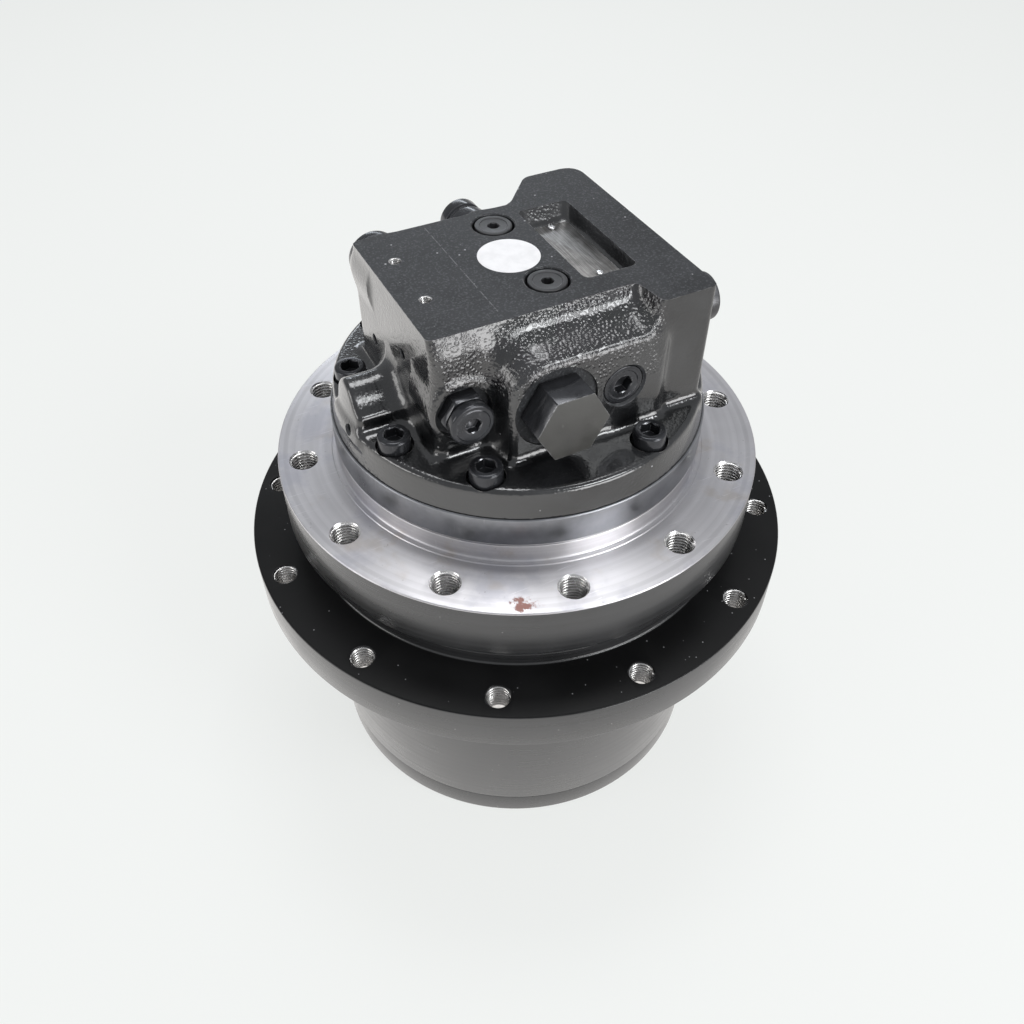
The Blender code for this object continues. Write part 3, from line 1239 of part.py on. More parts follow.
clear_scene()
PARTS = make_collection("excavator_final_drive")
CUTTERS = make_collection("cutters", hidden=True)
BLACK_PAINT = make_material("black_paint", (0.035, 0.036, 0.040), 0.35, 0.0)
BLACK_STEEL = make_material("black_steel", (0.050, 0.050, 0.054), 0.40, 0.6)
DARK_STEEL = make_material("dark_steel", (0.16, 0.16, 0.17), 0.40, 0.9)
GEAR_STEEL = make_material("gear_steel", (0.42, 0.42, 0.44), 0.32, 1.0)
BRIGHT_STEEL = make_material("bright_steel", (0.66, 0.66, 0.68), 0.22, 1.0)
BRONZE = make_material("bronze", (0.55, 0.36, 0.16), 0.35, 1.0)
ALUMINIUM = make_material("aluminium", (0.62, 0.61, 0.60), 0.40, 1.0)
RUBBER = make_material("rubber", (0.02, 0.02, 0.02), 0.70, 0.0)
main()
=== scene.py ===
"""Looks of an excavator final drive: an add-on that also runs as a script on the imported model."""

import json
from math import atan2, cos, hypot, pi, radians, sin, tan

import bmesh
import bpy
import numpy as np
from bpy.props import FloatProperty, FloatVectorProperty, IntProperty, PointerProperty
from bpy.types import Operator, Panel, PropertyGroup
from mathutils import Matrix, Vector
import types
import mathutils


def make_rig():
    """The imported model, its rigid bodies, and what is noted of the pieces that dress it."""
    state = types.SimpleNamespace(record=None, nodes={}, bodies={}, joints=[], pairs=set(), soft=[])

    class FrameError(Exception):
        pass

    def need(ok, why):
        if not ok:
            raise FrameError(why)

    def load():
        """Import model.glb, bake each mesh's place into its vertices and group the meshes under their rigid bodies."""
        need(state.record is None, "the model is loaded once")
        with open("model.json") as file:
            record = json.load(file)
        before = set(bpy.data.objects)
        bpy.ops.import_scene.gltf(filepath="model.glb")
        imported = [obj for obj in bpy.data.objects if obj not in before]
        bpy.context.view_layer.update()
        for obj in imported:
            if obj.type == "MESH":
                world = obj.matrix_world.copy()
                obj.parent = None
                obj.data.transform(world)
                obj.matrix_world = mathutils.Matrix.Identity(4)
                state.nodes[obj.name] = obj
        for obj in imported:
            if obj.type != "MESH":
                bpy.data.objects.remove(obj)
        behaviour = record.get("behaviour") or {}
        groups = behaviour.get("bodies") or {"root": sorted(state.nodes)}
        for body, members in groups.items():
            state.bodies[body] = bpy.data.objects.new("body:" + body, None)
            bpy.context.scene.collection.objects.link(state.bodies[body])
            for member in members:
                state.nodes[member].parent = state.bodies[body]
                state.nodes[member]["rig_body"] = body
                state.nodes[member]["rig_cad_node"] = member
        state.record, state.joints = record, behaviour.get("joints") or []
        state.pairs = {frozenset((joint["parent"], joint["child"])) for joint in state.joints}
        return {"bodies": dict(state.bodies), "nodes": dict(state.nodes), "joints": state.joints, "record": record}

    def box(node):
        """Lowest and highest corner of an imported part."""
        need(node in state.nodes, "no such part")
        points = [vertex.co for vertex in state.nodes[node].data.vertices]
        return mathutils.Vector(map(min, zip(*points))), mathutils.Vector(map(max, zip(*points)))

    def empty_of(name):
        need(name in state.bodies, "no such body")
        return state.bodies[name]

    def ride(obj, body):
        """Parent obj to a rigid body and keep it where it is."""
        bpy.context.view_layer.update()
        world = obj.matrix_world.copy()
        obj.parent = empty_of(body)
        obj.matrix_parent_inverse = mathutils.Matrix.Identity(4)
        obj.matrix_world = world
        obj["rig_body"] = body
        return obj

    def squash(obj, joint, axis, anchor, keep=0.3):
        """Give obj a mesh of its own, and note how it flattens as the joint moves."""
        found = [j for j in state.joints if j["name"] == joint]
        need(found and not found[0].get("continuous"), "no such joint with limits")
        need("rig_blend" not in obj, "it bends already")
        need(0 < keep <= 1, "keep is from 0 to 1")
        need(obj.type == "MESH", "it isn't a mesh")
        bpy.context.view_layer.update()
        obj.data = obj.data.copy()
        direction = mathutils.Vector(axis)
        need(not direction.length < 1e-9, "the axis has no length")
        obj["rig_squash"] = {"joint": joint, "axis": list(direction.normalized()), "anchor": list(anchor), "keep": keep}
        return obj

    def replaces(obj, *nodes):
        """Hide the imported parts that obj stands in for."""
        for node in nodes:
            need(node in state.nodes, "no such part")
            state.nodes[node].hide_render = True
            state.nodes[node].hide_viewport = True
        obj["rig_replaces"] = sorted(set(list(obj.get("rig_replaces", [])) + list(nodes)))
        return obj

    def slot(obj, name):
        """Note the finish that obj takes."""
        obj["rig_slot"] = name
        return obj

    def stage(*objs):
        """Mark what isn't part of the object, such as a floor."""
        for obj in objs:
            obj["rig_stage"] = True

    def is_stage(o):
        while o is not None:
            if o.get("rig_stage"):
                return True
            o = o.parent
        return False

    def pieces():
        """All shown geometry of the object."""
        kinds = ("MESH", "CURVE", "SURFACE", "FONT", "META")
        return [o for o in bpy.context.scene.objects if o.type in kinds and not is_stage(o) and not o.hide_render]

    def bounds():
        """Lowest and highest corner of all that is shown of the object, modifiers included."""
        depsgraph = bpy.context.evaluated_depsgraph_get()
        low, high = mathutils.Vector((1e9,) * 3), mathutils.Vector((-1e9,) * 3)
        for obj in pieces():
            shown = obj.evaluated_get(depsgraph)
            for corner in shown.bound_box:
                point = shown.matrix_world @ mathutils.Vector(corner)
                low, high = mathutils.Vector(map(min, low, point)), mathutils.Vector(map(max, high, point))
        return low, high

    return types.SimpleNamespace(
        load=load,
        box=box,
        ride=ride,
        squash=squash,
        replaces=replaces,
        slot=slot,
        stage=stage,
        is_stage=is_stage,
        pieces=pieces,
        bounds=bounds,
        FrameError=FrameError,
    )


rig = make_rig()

bl_info = {
    "name": "Excavator Final Drive Looks",
    "version": (1, 0, 0),
    "blender": (4, 5, 0),
    "location": "View3D > Sidebar > Final Drive",
    "description": "Dresses the packed final drive with fine shapes and procedural materials",
    "category": "Object",
}

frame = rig.load()
CAD_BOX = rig.bounds()

# Bodies
MOTOR = "motor"
HUB = "hub"
FIRST_CARRIER = "first_carrier"

# Camera
CAMERA_LENS = 33.157
CAMERA_SENSOR = 36.0
CAMERA_AZIMUTH = radians(-27.2)
CAMERA_ELEVATION = radians(45.55)
CAMERA_ROLL = radians(0.349)
CAMERA_DISTANCE = 0.6276
CAMERA_RIGHT = -0.00273
CAMERA_UP = -0.01133
CAMERA_AIM_Z = 0.183

# Levels along the axis
HUB_BOTTOM = 0.0198
COVER_TOP = 0.0195
SPROCKET_BOTTOM = 0.1555
SPROCKET_TOP = 0.1830
NECK_TOP = 0.1915
SKIRT_BOTTOM = 0.1930
FRAME_BOTTOM = 0.2030
FRAME_TOP = 0.2410
PILOT_TOP = 0.2530
GROOVE_TOP = PILOT_TOP + 0.0015
CASING_TOP = 0.2730
REAR_BOTTOM = 0.2733
DISC_TOP = 0.2900
HEAD_TOP = 0.3618
POCKET_FLOOR = 0.3530
PORT_Z = 0.3190
BACK_Z = 0.3450

# Radii of the turned outlines
COVER_R = 0.1312
HUB_MOUTH_R = 0.1323
HUB_BARREL_R = 0.1340
HUB_BORE_R = 0.1160
SPROCKET_R = 0.1715
NECK_R = 0.1360
FRAME_R = 0.1464
PILOT_R = 0.1103
GROOVE_R = 0.1093
CASING_RIM_R = 0.1108
REAR_DISC_R = 0.1095
REAR_DISC_TOP_R = 0.1070
REAR_BOSS_R = 0.0540
REAR_BOSS_BOTTOM = 0.2363
REAR_BOSS_TOP = REAR_BOTTOM + 0.0040
BEARING_HOLE_R = 0.0200

# Rings of places: count, circle radius, first angle
SPROCKET_RING = (12, 0.1580, radians(-0.7))
FRAME_RING = (12, 0.1311, radians(16.1))
COVER_RING = (8, 0.1237, 0.0)
OIL_PLUG_RING = (2, 0.0780, pi / 2)
SPROCKET_BORE = 0.0070
FRAME_BORE = 0.0080
FRAME_HOLE_DEPTH = 0.0300

# Head
HEAD_X = 0.0750
HEAD_Y = 0.0560
HEAD_FRONT = 0.0755
WING_X = 0.0778
WING_Y = 0.0720
WING_BACK_Y = 0.0768
RIDGE_Y = 0.0020
RIDGE_Z = 0.2994
RIDGE_R = 0.0122
SIDE_SEAT_X = 0.0760
SIDE_PLUG_Y = -0.0560
CAP_SCREW_PCR = 0.0964
CAP_SCREW_ANGLES = (20.0, -20.0, 70.3, -70.3, 126.8, -126.8, 159.8, -159.8)
CAP_SCREW_SEAT = 0.2850
SPOT_DEPTH = 0.0015
BIG_PLUG_X = -0.0163
RELIEF_X = -0.0606
FRONT_PLUG_X = 0.0233
TOP_PLUG_X = 0.0020
TOP_PLUG_YS = (0.0345, -0.0285)
TAPPED_HOLES = ((-0.0612, 0.0230), (-0.0612, -0.0174))
TAPPED_BORE, TAPPED_PITCH, TAPPED_TURNS = 0.0030, 0.0010, 7
BACK_CAP_X = -0.0600
BACK_FITTING_X = 0.0005
PLATE_X, PLATE_Y = 0.0355, 0.0020
PLATE_HALF_X, PLATE_HALF_Y, PLATE_THICK = 0.0120, 0.0300, 0.0010
PLATE_Z = POCKET_FLOOR + 0.0002
STICKER_CENTRE = (-0.0052, 0.0012)
RUST_PLACE = (-0.0605, -0.1275, FRAME_TOP)
SCRIBED_PLACE = (-0.0335, 0.0025, HEAD_TOP)
CAST_LOW = (-0.1130, -0.1130, REAR_BOTTOM - 0.0041)
CAST_HIGH = (0.1130, 0.1130, 0.3660)

# Inside
SPRING_MOUTH_R = 0.0620
SPRING_THICK = 0.0030
BRAKE_LIFT = 0.0015

# Working values
OVERRUN = 0.002
WELD = 2e-7
HEX = 6
TURNED_SEGMENTS = 192
HOLE_SEGMENTS = 40
SMOOTH_ANGLE = radians(34)
FLOOR_HALF = 6
FLOOR_Z = -0.0002
FRONT = (0, -1, 0)
BACK = (0, 1, 0)
RIGHT = (1, 0, 0)
LEFT = (-1, 0, 0)
UP = (0, 0, 1)
DOWN = (0, 0, -1)


# User settings
def length_setting(name, description, default, low, high):
    return FloatProperty(name=name, description=description, default=default, min=low, max=high,
                         subtype="DISTANCE", unit="LENGTH")


def colour_setting(name, description, *default):
    return FloatVectorProperty(name=name, description=description, default=default, size=3,
                               subtype="COLOR", min=0, max=1)


class FinalDriveSizes(PropertyGroup):
    cast_grid: length_setting("Cast Grid", "Cell size that the cast head is contoured with",
                              0.00125, 0.0008, 0.004)
    cast_fillet: length_setting("Cast Fillet", "Reach of the soft inside corners of the cast head",
                                0.0065, 0.001, 0.02)
    cast_round: length_setting("Cast Round", "Reach of the soft outside corners of the cast head",
                               0.0036, 0.0005, 0.01)
    edge_round: length_setting("Edge Round", "Radius on the edges of the turned housings",
                               0.0009, 0.0002, 0.003)
    thread_pitch: length_setting("Thread Pitch", "Pitch of the tapped holes in both flanges",
                                 0.0023, 0.0005, 0.004)
    thread_turns: IntProperty(
        name="Thread Turns", description="Number of thread turns made below each hole's mouth",
        default=8, min=1, max=20)
    sticker_radius: length_setting("Sticker Radius", "Radius of the blank sticker on the head",
                                   0.0169, 0.005, 0.025)


class FinalDriveColours(PropertyGroup):
    enamel: colour_setting("Enamel", "Gloss enamel of the cast head", 0.0100, 0.0103, 0.0110)
    satin: colour_setting("Satin Black", "Satin paint of the sprocket flange",
                          0.0058, 0.0058, 0.0060)
    charcoal: colour_setting("Charcoal", "Paint of the gear hub and the frame flange's side",
                             0.0170, 0.0172, 0.0180)
    flange: colour_setting("Bare Flange", "Machined steel of the frame flange",
                           0.5450, 0.5350, 0.5500)
    rust: colour_setting("Rust", "Light rust on the bare flange", 0.3000, 0.1150, 0.0850)
    sticker: colour_setting("Sticker", "Paper of the blank sticker", 0.7700, 0.7600, 0.7650)
    floor: colour_setting("Floor", "Pale floor and background", 0.8700, 0.8850, 0.8700)


# Mesh helpers
def linked(name, mesh):
    obj = bpy.data.objects.new(name, mesh)
    bpy.context.scene.collection.objects.link(obj)
    return obj


def mesh_object(name, vertices, faces=(), edges=(), materials=()):
    mesh = bpy.data.meshes.new(name)
    mesh.from_pydata([tuple(v) for v in vertices], edges, [tuple(f) for f in faces])
    mesh.validate()
    for material in materials:
        mesh.materials.append(material)
    return linked(name, mesh)


def bake(obj):
    """Applies the modifiers to a new plain mesh."""
    graph = bpy.context.evaluated_depsgraph_get()
    mesh = bpy.data.meshes.new_from_object(obj.evaluated_get(graph), depsgraph=graph)
    old = obj.data
    obj.modifiers.clear()
    obj.data = mesh
    bpy.data.meshes.remove(old)
    return obj


def discard(*objects):
    for obj in objects:
        mesh = obj.data
        bpy.data.objects.remove(obj)
        if mesh and not mesh.users:
            bpy.data.meshes.remove(mesh)


def placed(obj, matrix):
    obj.data.transform(matrix)
    return obj


def merged(objects):
    """One object out of several, whose materials are kept."""
    with bpy.context.temp_override(active_object=objects[0], selected_editable_objects=objects):
        bpy.ops.object.join()
    return objects[0]


def combine(target, tools, operation):
    """Works each tool into the target with a boolean and removes the tools."""
    for tool in tools:
        modifier = target.modifiers.new(operation.lower(), "BOOLEAN")
        modifier.operation = operation
        modifier.solver = "MANIFOLD"
        modifier.object = tool
        modifier.material_mode = "TRANSFER"
        bake(target)
        if not target.data.polygons:
            raise RuntimeError(f"{target.name}: nothing is left after {tool.name}")
    discard(*tools)
    return target


def subtract(target, *tools):
    return combine(target, tools, "DIFFERENCE")


def unite(target, *tools):
    return combine(target, tools, "UNION")


def bevel(obj, width, segments):
    modifier = obj.modifiers.new("bevel", "BEVEL")
    modifier.width = width
    modifier.segments = segments
    modifier.limit_method = "ANGLE"
    modifier.angle_limit = radians(30)
    modifier.harden_normals = False
    return bake(obj)


def signed_area(outline):
    return sum(a[0] * b[1] - b[0] * a[1] for a, b in zip(outline, outline[1:] + outline[:1]))


def rounded(points, steps=4):
    """Outline with rounded corners; a corner is (radius from the axis, height, corner radius)."""
    outline = []
    count = len(points)
    for i, (r, z, size) in enumerate(points):
        if not size:
            outline.append((r, z))
            continue
        here = Vector((r, z))
        before = Vector(points[i - 1][:2]) - here
        after = Vector(points[(i + 1) % count][:2]) - here
        half = before.angle(after) / 2
        reach = min(size / tan(half), before.length * 0.49, after.length * 0.49)
        start = here + before.normalized() * reach
        end = here + after.normalized() * reach
        middle = here + (before.normalized() + after.normalized()).normalized() * reach / cos(half)
        first = atan2(start.y - middle.y, start.x - middle.x)
        sweep = atan2(end.y - middle.y, end.x - middle.x) - first
        sweep = (sweep + pi) % (2 * pi) - pi
        radius = reach * tan(half)
        for k in range(steps + 1):
            angle = first + sweep * k / steps
            outline.append((middle.x + radius * cos(angle), middle.y + radius * sin(angle)))
    return outline


def turned(name, outline, segments=TURNED_SEGMENTS, materials=()):
    """Closed solid turned about Z from a closed outline of (radius, height)."""
    if signed_area(outline) < 0:
        outline = outline[::-1]
    vertices, rings = [], []
    for r, z in outline:
        if r <= 1e-7:
            rings.append([len(vertices)] * segments)
            vertices.append((0.0, 0.0, z))
            continue
        rings.append(list(range(len(vertices), len(vertices) + segments)))
        vertices.extend((r * cos(2 * pi * k / segments), r * sin(2 * pi * k / segments), z)
                        for k in range(segments))
    faces = []
    for low, high in zip(rings, rings[1:] + rings[:1]):
        if low[0] == low[1] and high[0] == high[1]:
            continue
        for k in range(segments):
            following = (k + 1) % segments
            corners = (low[k], low[following], high[following], high[k])
            faces.append(list(dict.fromkeys(corners)))
    return mesh_object(name, vertices, faces, materials=materials)


def disc(name, radius, bottom, top):
    return turned(name, [(0, bottom), (radius, bottom), (radius, top), (0, top)], 48)


def prism(name, outline, bottom, top):
    """Closed solid on a convex outline of (x, y)."""
    count = len(outline)
    vertices = [(x, y, bottom) for x, y in outline] + [(x, y, top) for x, y in outline]
    faces = [tuple(reversed(range(count))), tuple(range(count, 2 * count))]
    faces += [(i, (i + 1) % count, count + (i + 1) % count, count + i) for i in range(count)]
    return mesh_object(name, vertices, faces)


def ring_points(count, radius, phase=0.0):
    return [(radius * cos(phase + 2 * pi * i / count), radius * sin(phase + 2 * pi * i / count))
            for i in range(count)]


def ring_places(ring, z):
    return [(x, y, z) for x, y in ring_points(*ring)]


def copies_in_ring(obj, count, radius, phase):
    """Turned copies of an object in a ring; the object is removed."""
    copies = []
    for i in range(count):
        mesh = obj.data.copy()
        mesh.transform(Matrix.Rotation(phase + 2 * pi * i / count, 4, "Z")
                       @ Matrix.Translation((radius, 0.0, 0.0)))
        copies.append(linked("copy", mesh))
    discard(obj)
    return copies


def facing(place, direction):
    """A frame whose +Z leaves a face along the direction, at a point on that face."""
    turn = Vector(direction).to_track_quat("Z", "Y").to_matrix().to_4x4()
    return Matrix.Translation(place) @ turn


def raised(z):
    return Matrix.Translation((0, 0, z))


def upside_down(z):
    return raised(z) @ Matrix.Rotation(pi, 4, "X")


def finished(obj, body, *nodes, materials=(), region=None, slot=None, angle=SMOOTH_ANGLE):
    """Paints a piece, merges its doubles and slivers, smooths it, and hands it to its body.

    The region function gives the number of a face's material from the face's centre and normal.
    The piece stands for the nodes that are named.
    """
    if materials:
        obj.data.materials.clear()
        for material in materials:
            obj.data.materials.append(material)
        for face in obj.data.polygons:
            face.material_index = region(face.center, face.normal) if region else 0
    mesh = bmesh.new()
    mesh.from_mesh(obj.data)
    bmesh.ops.remove_doubles(mesh, verts=mesh.verts, dist=WELD)
    bmesh.ops.dissolve_degenerate(mesh, edges=mesh.edges, dist=WELD)
    mesh.to_mesh(obj.data)
    mesh.free()
    obj.data.shade_smooth()
    obj.data.set_sharp_from_angle(angle=angle)
    obj.data.update()
    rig.ride(obj, body)
    if nodes:
        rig.replaces(obj, *nodes)
    if slot:
        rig.slot(obj, slot)


# Cast shape from signed distances
def smooth_union(a, b, reach):
    blend = np.maximum(reach - np.abs(a - b), 0.0) / reach
    return np.minimum(a, b) - blend * blend * reach / 4


def smooth_common(a, b, reach):
    blend = np.maximum(reach - np.abs(a - b), 0.0) / reach
    return np.maximum(a, b) + blend * blend * reach / 4


def half_space(p, normal, point):
    """Distance outside a plane whose normal leaves the solid."""
    n = np.asarray(normal, float)
    n = n / np.linalg.norm(n)
    return sum(n[i] * (p[i] - point[i]) for i in range(3))


def cut(p, solid, *sides):
    """Cuts a solid, or all space, by planes: (normal, point) and a rounded corner's reach."""
    for normal, point, *reach in sides:
        side = half_space(p, normal, point)
        if solid is None:
            solid = side
        else:
            solid = smooth_common(solid, side, *reach) if reach else np.maximum(solid, side)
    return solid


def cylinder_along_y(p, x, z, radius):
    return np.hypot(p[0] - x, p[2] - z) - radius


def head_field(p, fillet, corner):
    """Rear cover: tapered disc, valve block, wing, front boss, ridge and pads, with flat ends."""
    taper = (REAR_DISC_R - REAR_DISC_TOP_R) / (DISC_TOP - REAR_BOTTOM)
    side = (np.hypot(p[0], p[1]) - REAR_DISC_R + taper * (p[2] - REAR_BOTTOM)) / hypot(1.0, taper)
    base = smooth_common(side, p[2] - DISC_TOP, 0.0030)
    down = (DOWN, (0.0, 0.0, DISC_TOP - 0.004))

    block = cut(p, None, (LEFT, (-HEAD_X, 0, 0)), (FRONT, (0, -HEAD_Y, 0), 0.0070),
                (BACK, (0, HEAD_Y, 0), 0.0070), ((0, -0.93, 0.37), (0, -HEAD_Y, 0.3500), corner),
                ((0, 0.93, 0.37), (0, HEAD_Y, 0.3500), corner), (RIGHT, (0.046, 0, 0)), down)
    wing = cut(p, None, (RIGHT, (WING_X, 0, 0)), (FRONT, (0, -WING_Y, 0), 0.0040),
               ((-0.926, -0.141, 0.350), (0.0415, -0.051, 0.3620), corner),
               (BACK, (0, 0.002, 0)), down)
    rear = cut(p, None, (RIGHT, (WING_X, 0, 0)), (BACK, (0, WING_BACK_Y, 0), 0.0120),
               ((-0.755, 0.656, 0), (0.0429, WING_BACK_Y, 0), corner), (LEFT, (0.021, 0, 0)),
               (FRONT, (0, 0, 0)), down)
    boss = cut(p, None, ((-0.986, -0.164, 0), (-0.0420, -HEAD_FRONT, 0)),
               ((0, -0.316, 0.949), (0, -HEAD_FRONT, 0.3464), 0.0230),
               (RIGHT, (0.0480, 0, 0), 0.0150), (FRONT, (0, -HEAD_FRONT, 0), 0.0045),
               (BACK, (0, -0.030, 0)), down)
    relief = cut(p, cylinder_along_y(p, RELIEF_X, PORT_Z, 0.0175),
                 (FRONT, (0, -HEAD_Y - 0.0008, 0), 0.003), (BACK, (0, -0.030, 0)))

    crest = np.hypot(p[1] - RIDGE_Y, np.maximum(p[2] - RIDGE_Z, 0.0)) - RIDGE_R
    shelf = cut(p, None, ((0, -0.33, 0.94), (0, -0.0060, 0.3038)),
                ((0, -1, 0.12), (0, -0.0170, 0.300), 0.0026))
    ridge = smooth_union(crest, np.maximum(shelf, p[1] - RIDGE_Y), 0.0060)
    ridge = cut(p, smooth_common(ridge, side + 0.0004, 0.0024), (RIGHT, (-0.060, 0, 0)), down)

    pads = cut(p, None, (LEFT, (-0.0440, 0, 0)), (RIGHT, (-0.0210, 0, 0), 0.0050),
               (BACK, (0, HEAD_Y + 0.004, 0), 0.0050), (UP, (0, 0, 0.3500), 0.0050),
               (DOWN, (0, 0, 0.3050), 0.0050), (FRONT, (0, 0.030, 0)))
    for x in (BACK_CAP_X, BACK_FITTING_X):
        pads = np.minimum(pads, cut(p, cylinder_along_y(p, x, BACK_Z, 0.0150),
                                    (BACK, (0, HEAD_Y + 0.0001, 0), 0.002), (FRONT, (0, 0.030, 0))))

    walls = smooth_union(block, np.minimum(wing, rear), 0.0040)
    for part, reach in ((boss, 0.0075), (relief, 0.0060), (pads, 0.0060), (ridge, 2 * fillet)):
        walls = smooth_union(walls, part, reach)
    cast = smooth_union(base, walls, fillet)
    pocket = cut(p, None, ((-1, 0, -0.10), (0.0200, 0, HEAD_TOP)),
                 ((1, 0, -0.42), (0.0516, 0, HEAD_TOP), 0.0040),
                 ((0, -1, -0.20), (0, -0.0365, HEAD_TOP), 0.0040),
                 ((0, 1, -0.95), (0, 0.0414, HEAD_TOP), 0.0040),
                 (DOWN, (0, 0, POCKET_FLOOR), 0.0030))
    cast = smooth_common(cast, -pocket, 0.0012)
    return np.maximum(np.maximum(cast, p[2] - HEAD_TOP), REAR_BOTTOM - p[2])


def contour(field, low, high, step):
    """Vertices and quads of a solid's surface from its signed distance; sharp edges are kept."""
    low = np.array(low)
    axes = [np.arange(low[i], high[i] + step, step) for i in range(3)]
    shape = tuple(len(a) for a in axes)
    values = field(np.stack(np.meshgrid(*axes, indexing="ij")))
    strides = np.array([shape[1] * shape[2], shape[2], 1])
    crossings, cells, flips = [], [], []
    for axis in range(3):
        near = [slice(1, -1)] * 3
        far = [slice(1, -1)] * 3
        near[axis], far[axis] = slice(0, -1), slice(1, None)
        index = np.argwhere((values[tuple(near)] < 0) != (values[tuple(far)] < 0))
        offset = np.array([1, 1, 1])
        offset[axis] = 0
        index += offset
        start = np.stack([axes[i][index[:, i]] for i in range(3)])
        first = values[tuple(index.T)]
        inward = index.copy()
        inward[:, axis] += 1
        t0, t1 = np.zeros(len(index)), np.ones(len(index))
        v0, v1 = first.copy(), values[tuple(inward.T)].copy()
        for _ in range(4):
            t = t0 + (t1 - t0) * np.clip(v0 / (v0 - v1), 0.1, 0.9)
            point = start.copy()
            point[axis] += t * step
            v = field(point)
            low_side = (v < 0) == (v0 < 0)
            t0, v0 = np.where(low_side, t, t0), np.where(low_side, v, v0)
            t1, v1 = np.where(low_side, t1, t), np.where(low_side, v1, v)
        point = start.copy()
        point[axis] += (t0 + (t1 - t0) * v0 / (v0 - v1)) * step
        crossings.append(point.T)
        u, w = strides[(axis + 1) % 3], strides[(axis + 2) % 3]
        corner = index @ strides
        cells.append(np.stack([corner - u - w, corner - w, corner, corner - u], 1))
        flips.append(first > 0)
    points = np.concatenate(crossings)
    quads = np.concatenate(cells)
    flip = np.concatenate(flips)
    normals = np.empty_like(points)
    for i in range(3):
        shift = np.zeros((3, 1))
        shift[i] = step * 0.05
        normals[:, i] = field(points.T + shift) - field(points.T - shift)
    normals /= np.linalg.norm(normals, axis=1, keepdims=True)

    used, faces = np.unique(quads, return_inverse=True)
    faces = faces.reshape(quads.shape)
    count = len(used)
    where = faces.ravel()
    spread = np.repeat(points, 4, 0)
    leaning = np.repeat(normals, 4, 0)
    share = np.bincount(where, minlength=count)
    centre = np.stack([np.bincount(where, spread[:, i], count) for i in range(3)], 1)
    centre /= share[:, None]
    matrix = np.empty((count, 3, 3))
    for i in range(3):
        for j in range(3):
            matrix[:, i, j] = np.bincount(where, leaning[:, i] * leaning[:, j], count)
    gap = np.einsum("ij,ij->i", leaning, spread - centre[where])
    target = np.stack([np.bincount(where, leaning[:, i] * gap, count) for i in range(3)], 1)
    matrix += np.eye(3) * 0.06
    vertices = centre + np.linalg.solve(matrix, target[:, :, None])[:, :, 0]
    cell = np.stack(np.unravel_index(used, shape), 1) * step + low
    vertices = np.clip(vertices, cell, cell + step)
    faces[flip] = faces[flip][:, ::-1]
    return vertices, faces


# Geometry Nodes
def make_tree(name, inputs, nodes, links):
    """Geometry Nodes tree that ends in Realize Instances and Set Material.

    A link is its source and "node.input". The source is "node.output", or a value for that input.
    """
    tree = bpy.data.node_groups.new(name, "GeometryNodeTree")
    tree.is_modifier = True
    for way in ("INPUT", "OUTPUT"):
        tree.interface.new_socket("Geometry", in_out=way, socket_type="NodeSocketGeometry")
    for label, kind, default in (*inputs, ("Material", "Material", None)):
        socket = tree.interface.new_socket(label, in_out="INPUT", socket_type="NodeSocket" + kind)
        if default is not None:
            socket.default_value = default
    made = {}
    ends = {"in": ("NodeGroupInput",), "out": ("NodeGroupOutput",),
            "real": ("GeometryNodeRealizeInstances",), "paint": ("GeometryNodeSetMaterial",)}
    for key, (kind, *settings) in {**ends, **nodes}.items():
        made[key] = tree.nodes.new(kind)
        for setting, value in settings:
            setattr(made[key], setting, value)

    def found(path, side):
        key, label = path.split(".")
        sockets = getattr(made[key], side)
        return sockets[int(label)] if label.isdigit() else sockets[label]

    for source, target in (*links, ("real.Geometry", "paint.Geometry"),
                           ("in.Material", "paint.Material"), ("paint.Geometry", "out.Geometry")):
        socket = found(target, "inputs")
        if isinstance(source, str):
            tree.links.new(found(source, "outputs"), socket)
        else:
            socket.default_value = source
    return tree


def place_tree():
    """Copies of one piece at the points of a mesh, each turned about Z by a seeded angle."""
    return make_tree(
        "piece_at_points",
        [("Piece", "Object", None), ("Largest Turn", "Float", 0.0), ("Seed", "Int", 3)],
        {"info": ("GeometryNodeObjectInfo", ("transform_space", "ORIGINAL")),
         "spin": ("FunctionNodeRandomValue", ("data_type", "FLOAT")),
         "angle": ("ShaderNodeCombineXYZ",), "copies": ("GeometryNodeInstanceOnPoints",)},
        [("in.Piece", "info.Object"), ("in.Largest Turn", "spin.Max"), ("in.Seed", "spin.Seed"),
         ("spin.Value", "angle.Z"), ("in.Geometry", "copies.Points"),
         ("info.Geometry", "copies.Instance"), ("angle.Vector", "copies.Rotation"),
         ("copies.Instances", "real.Geometry")])


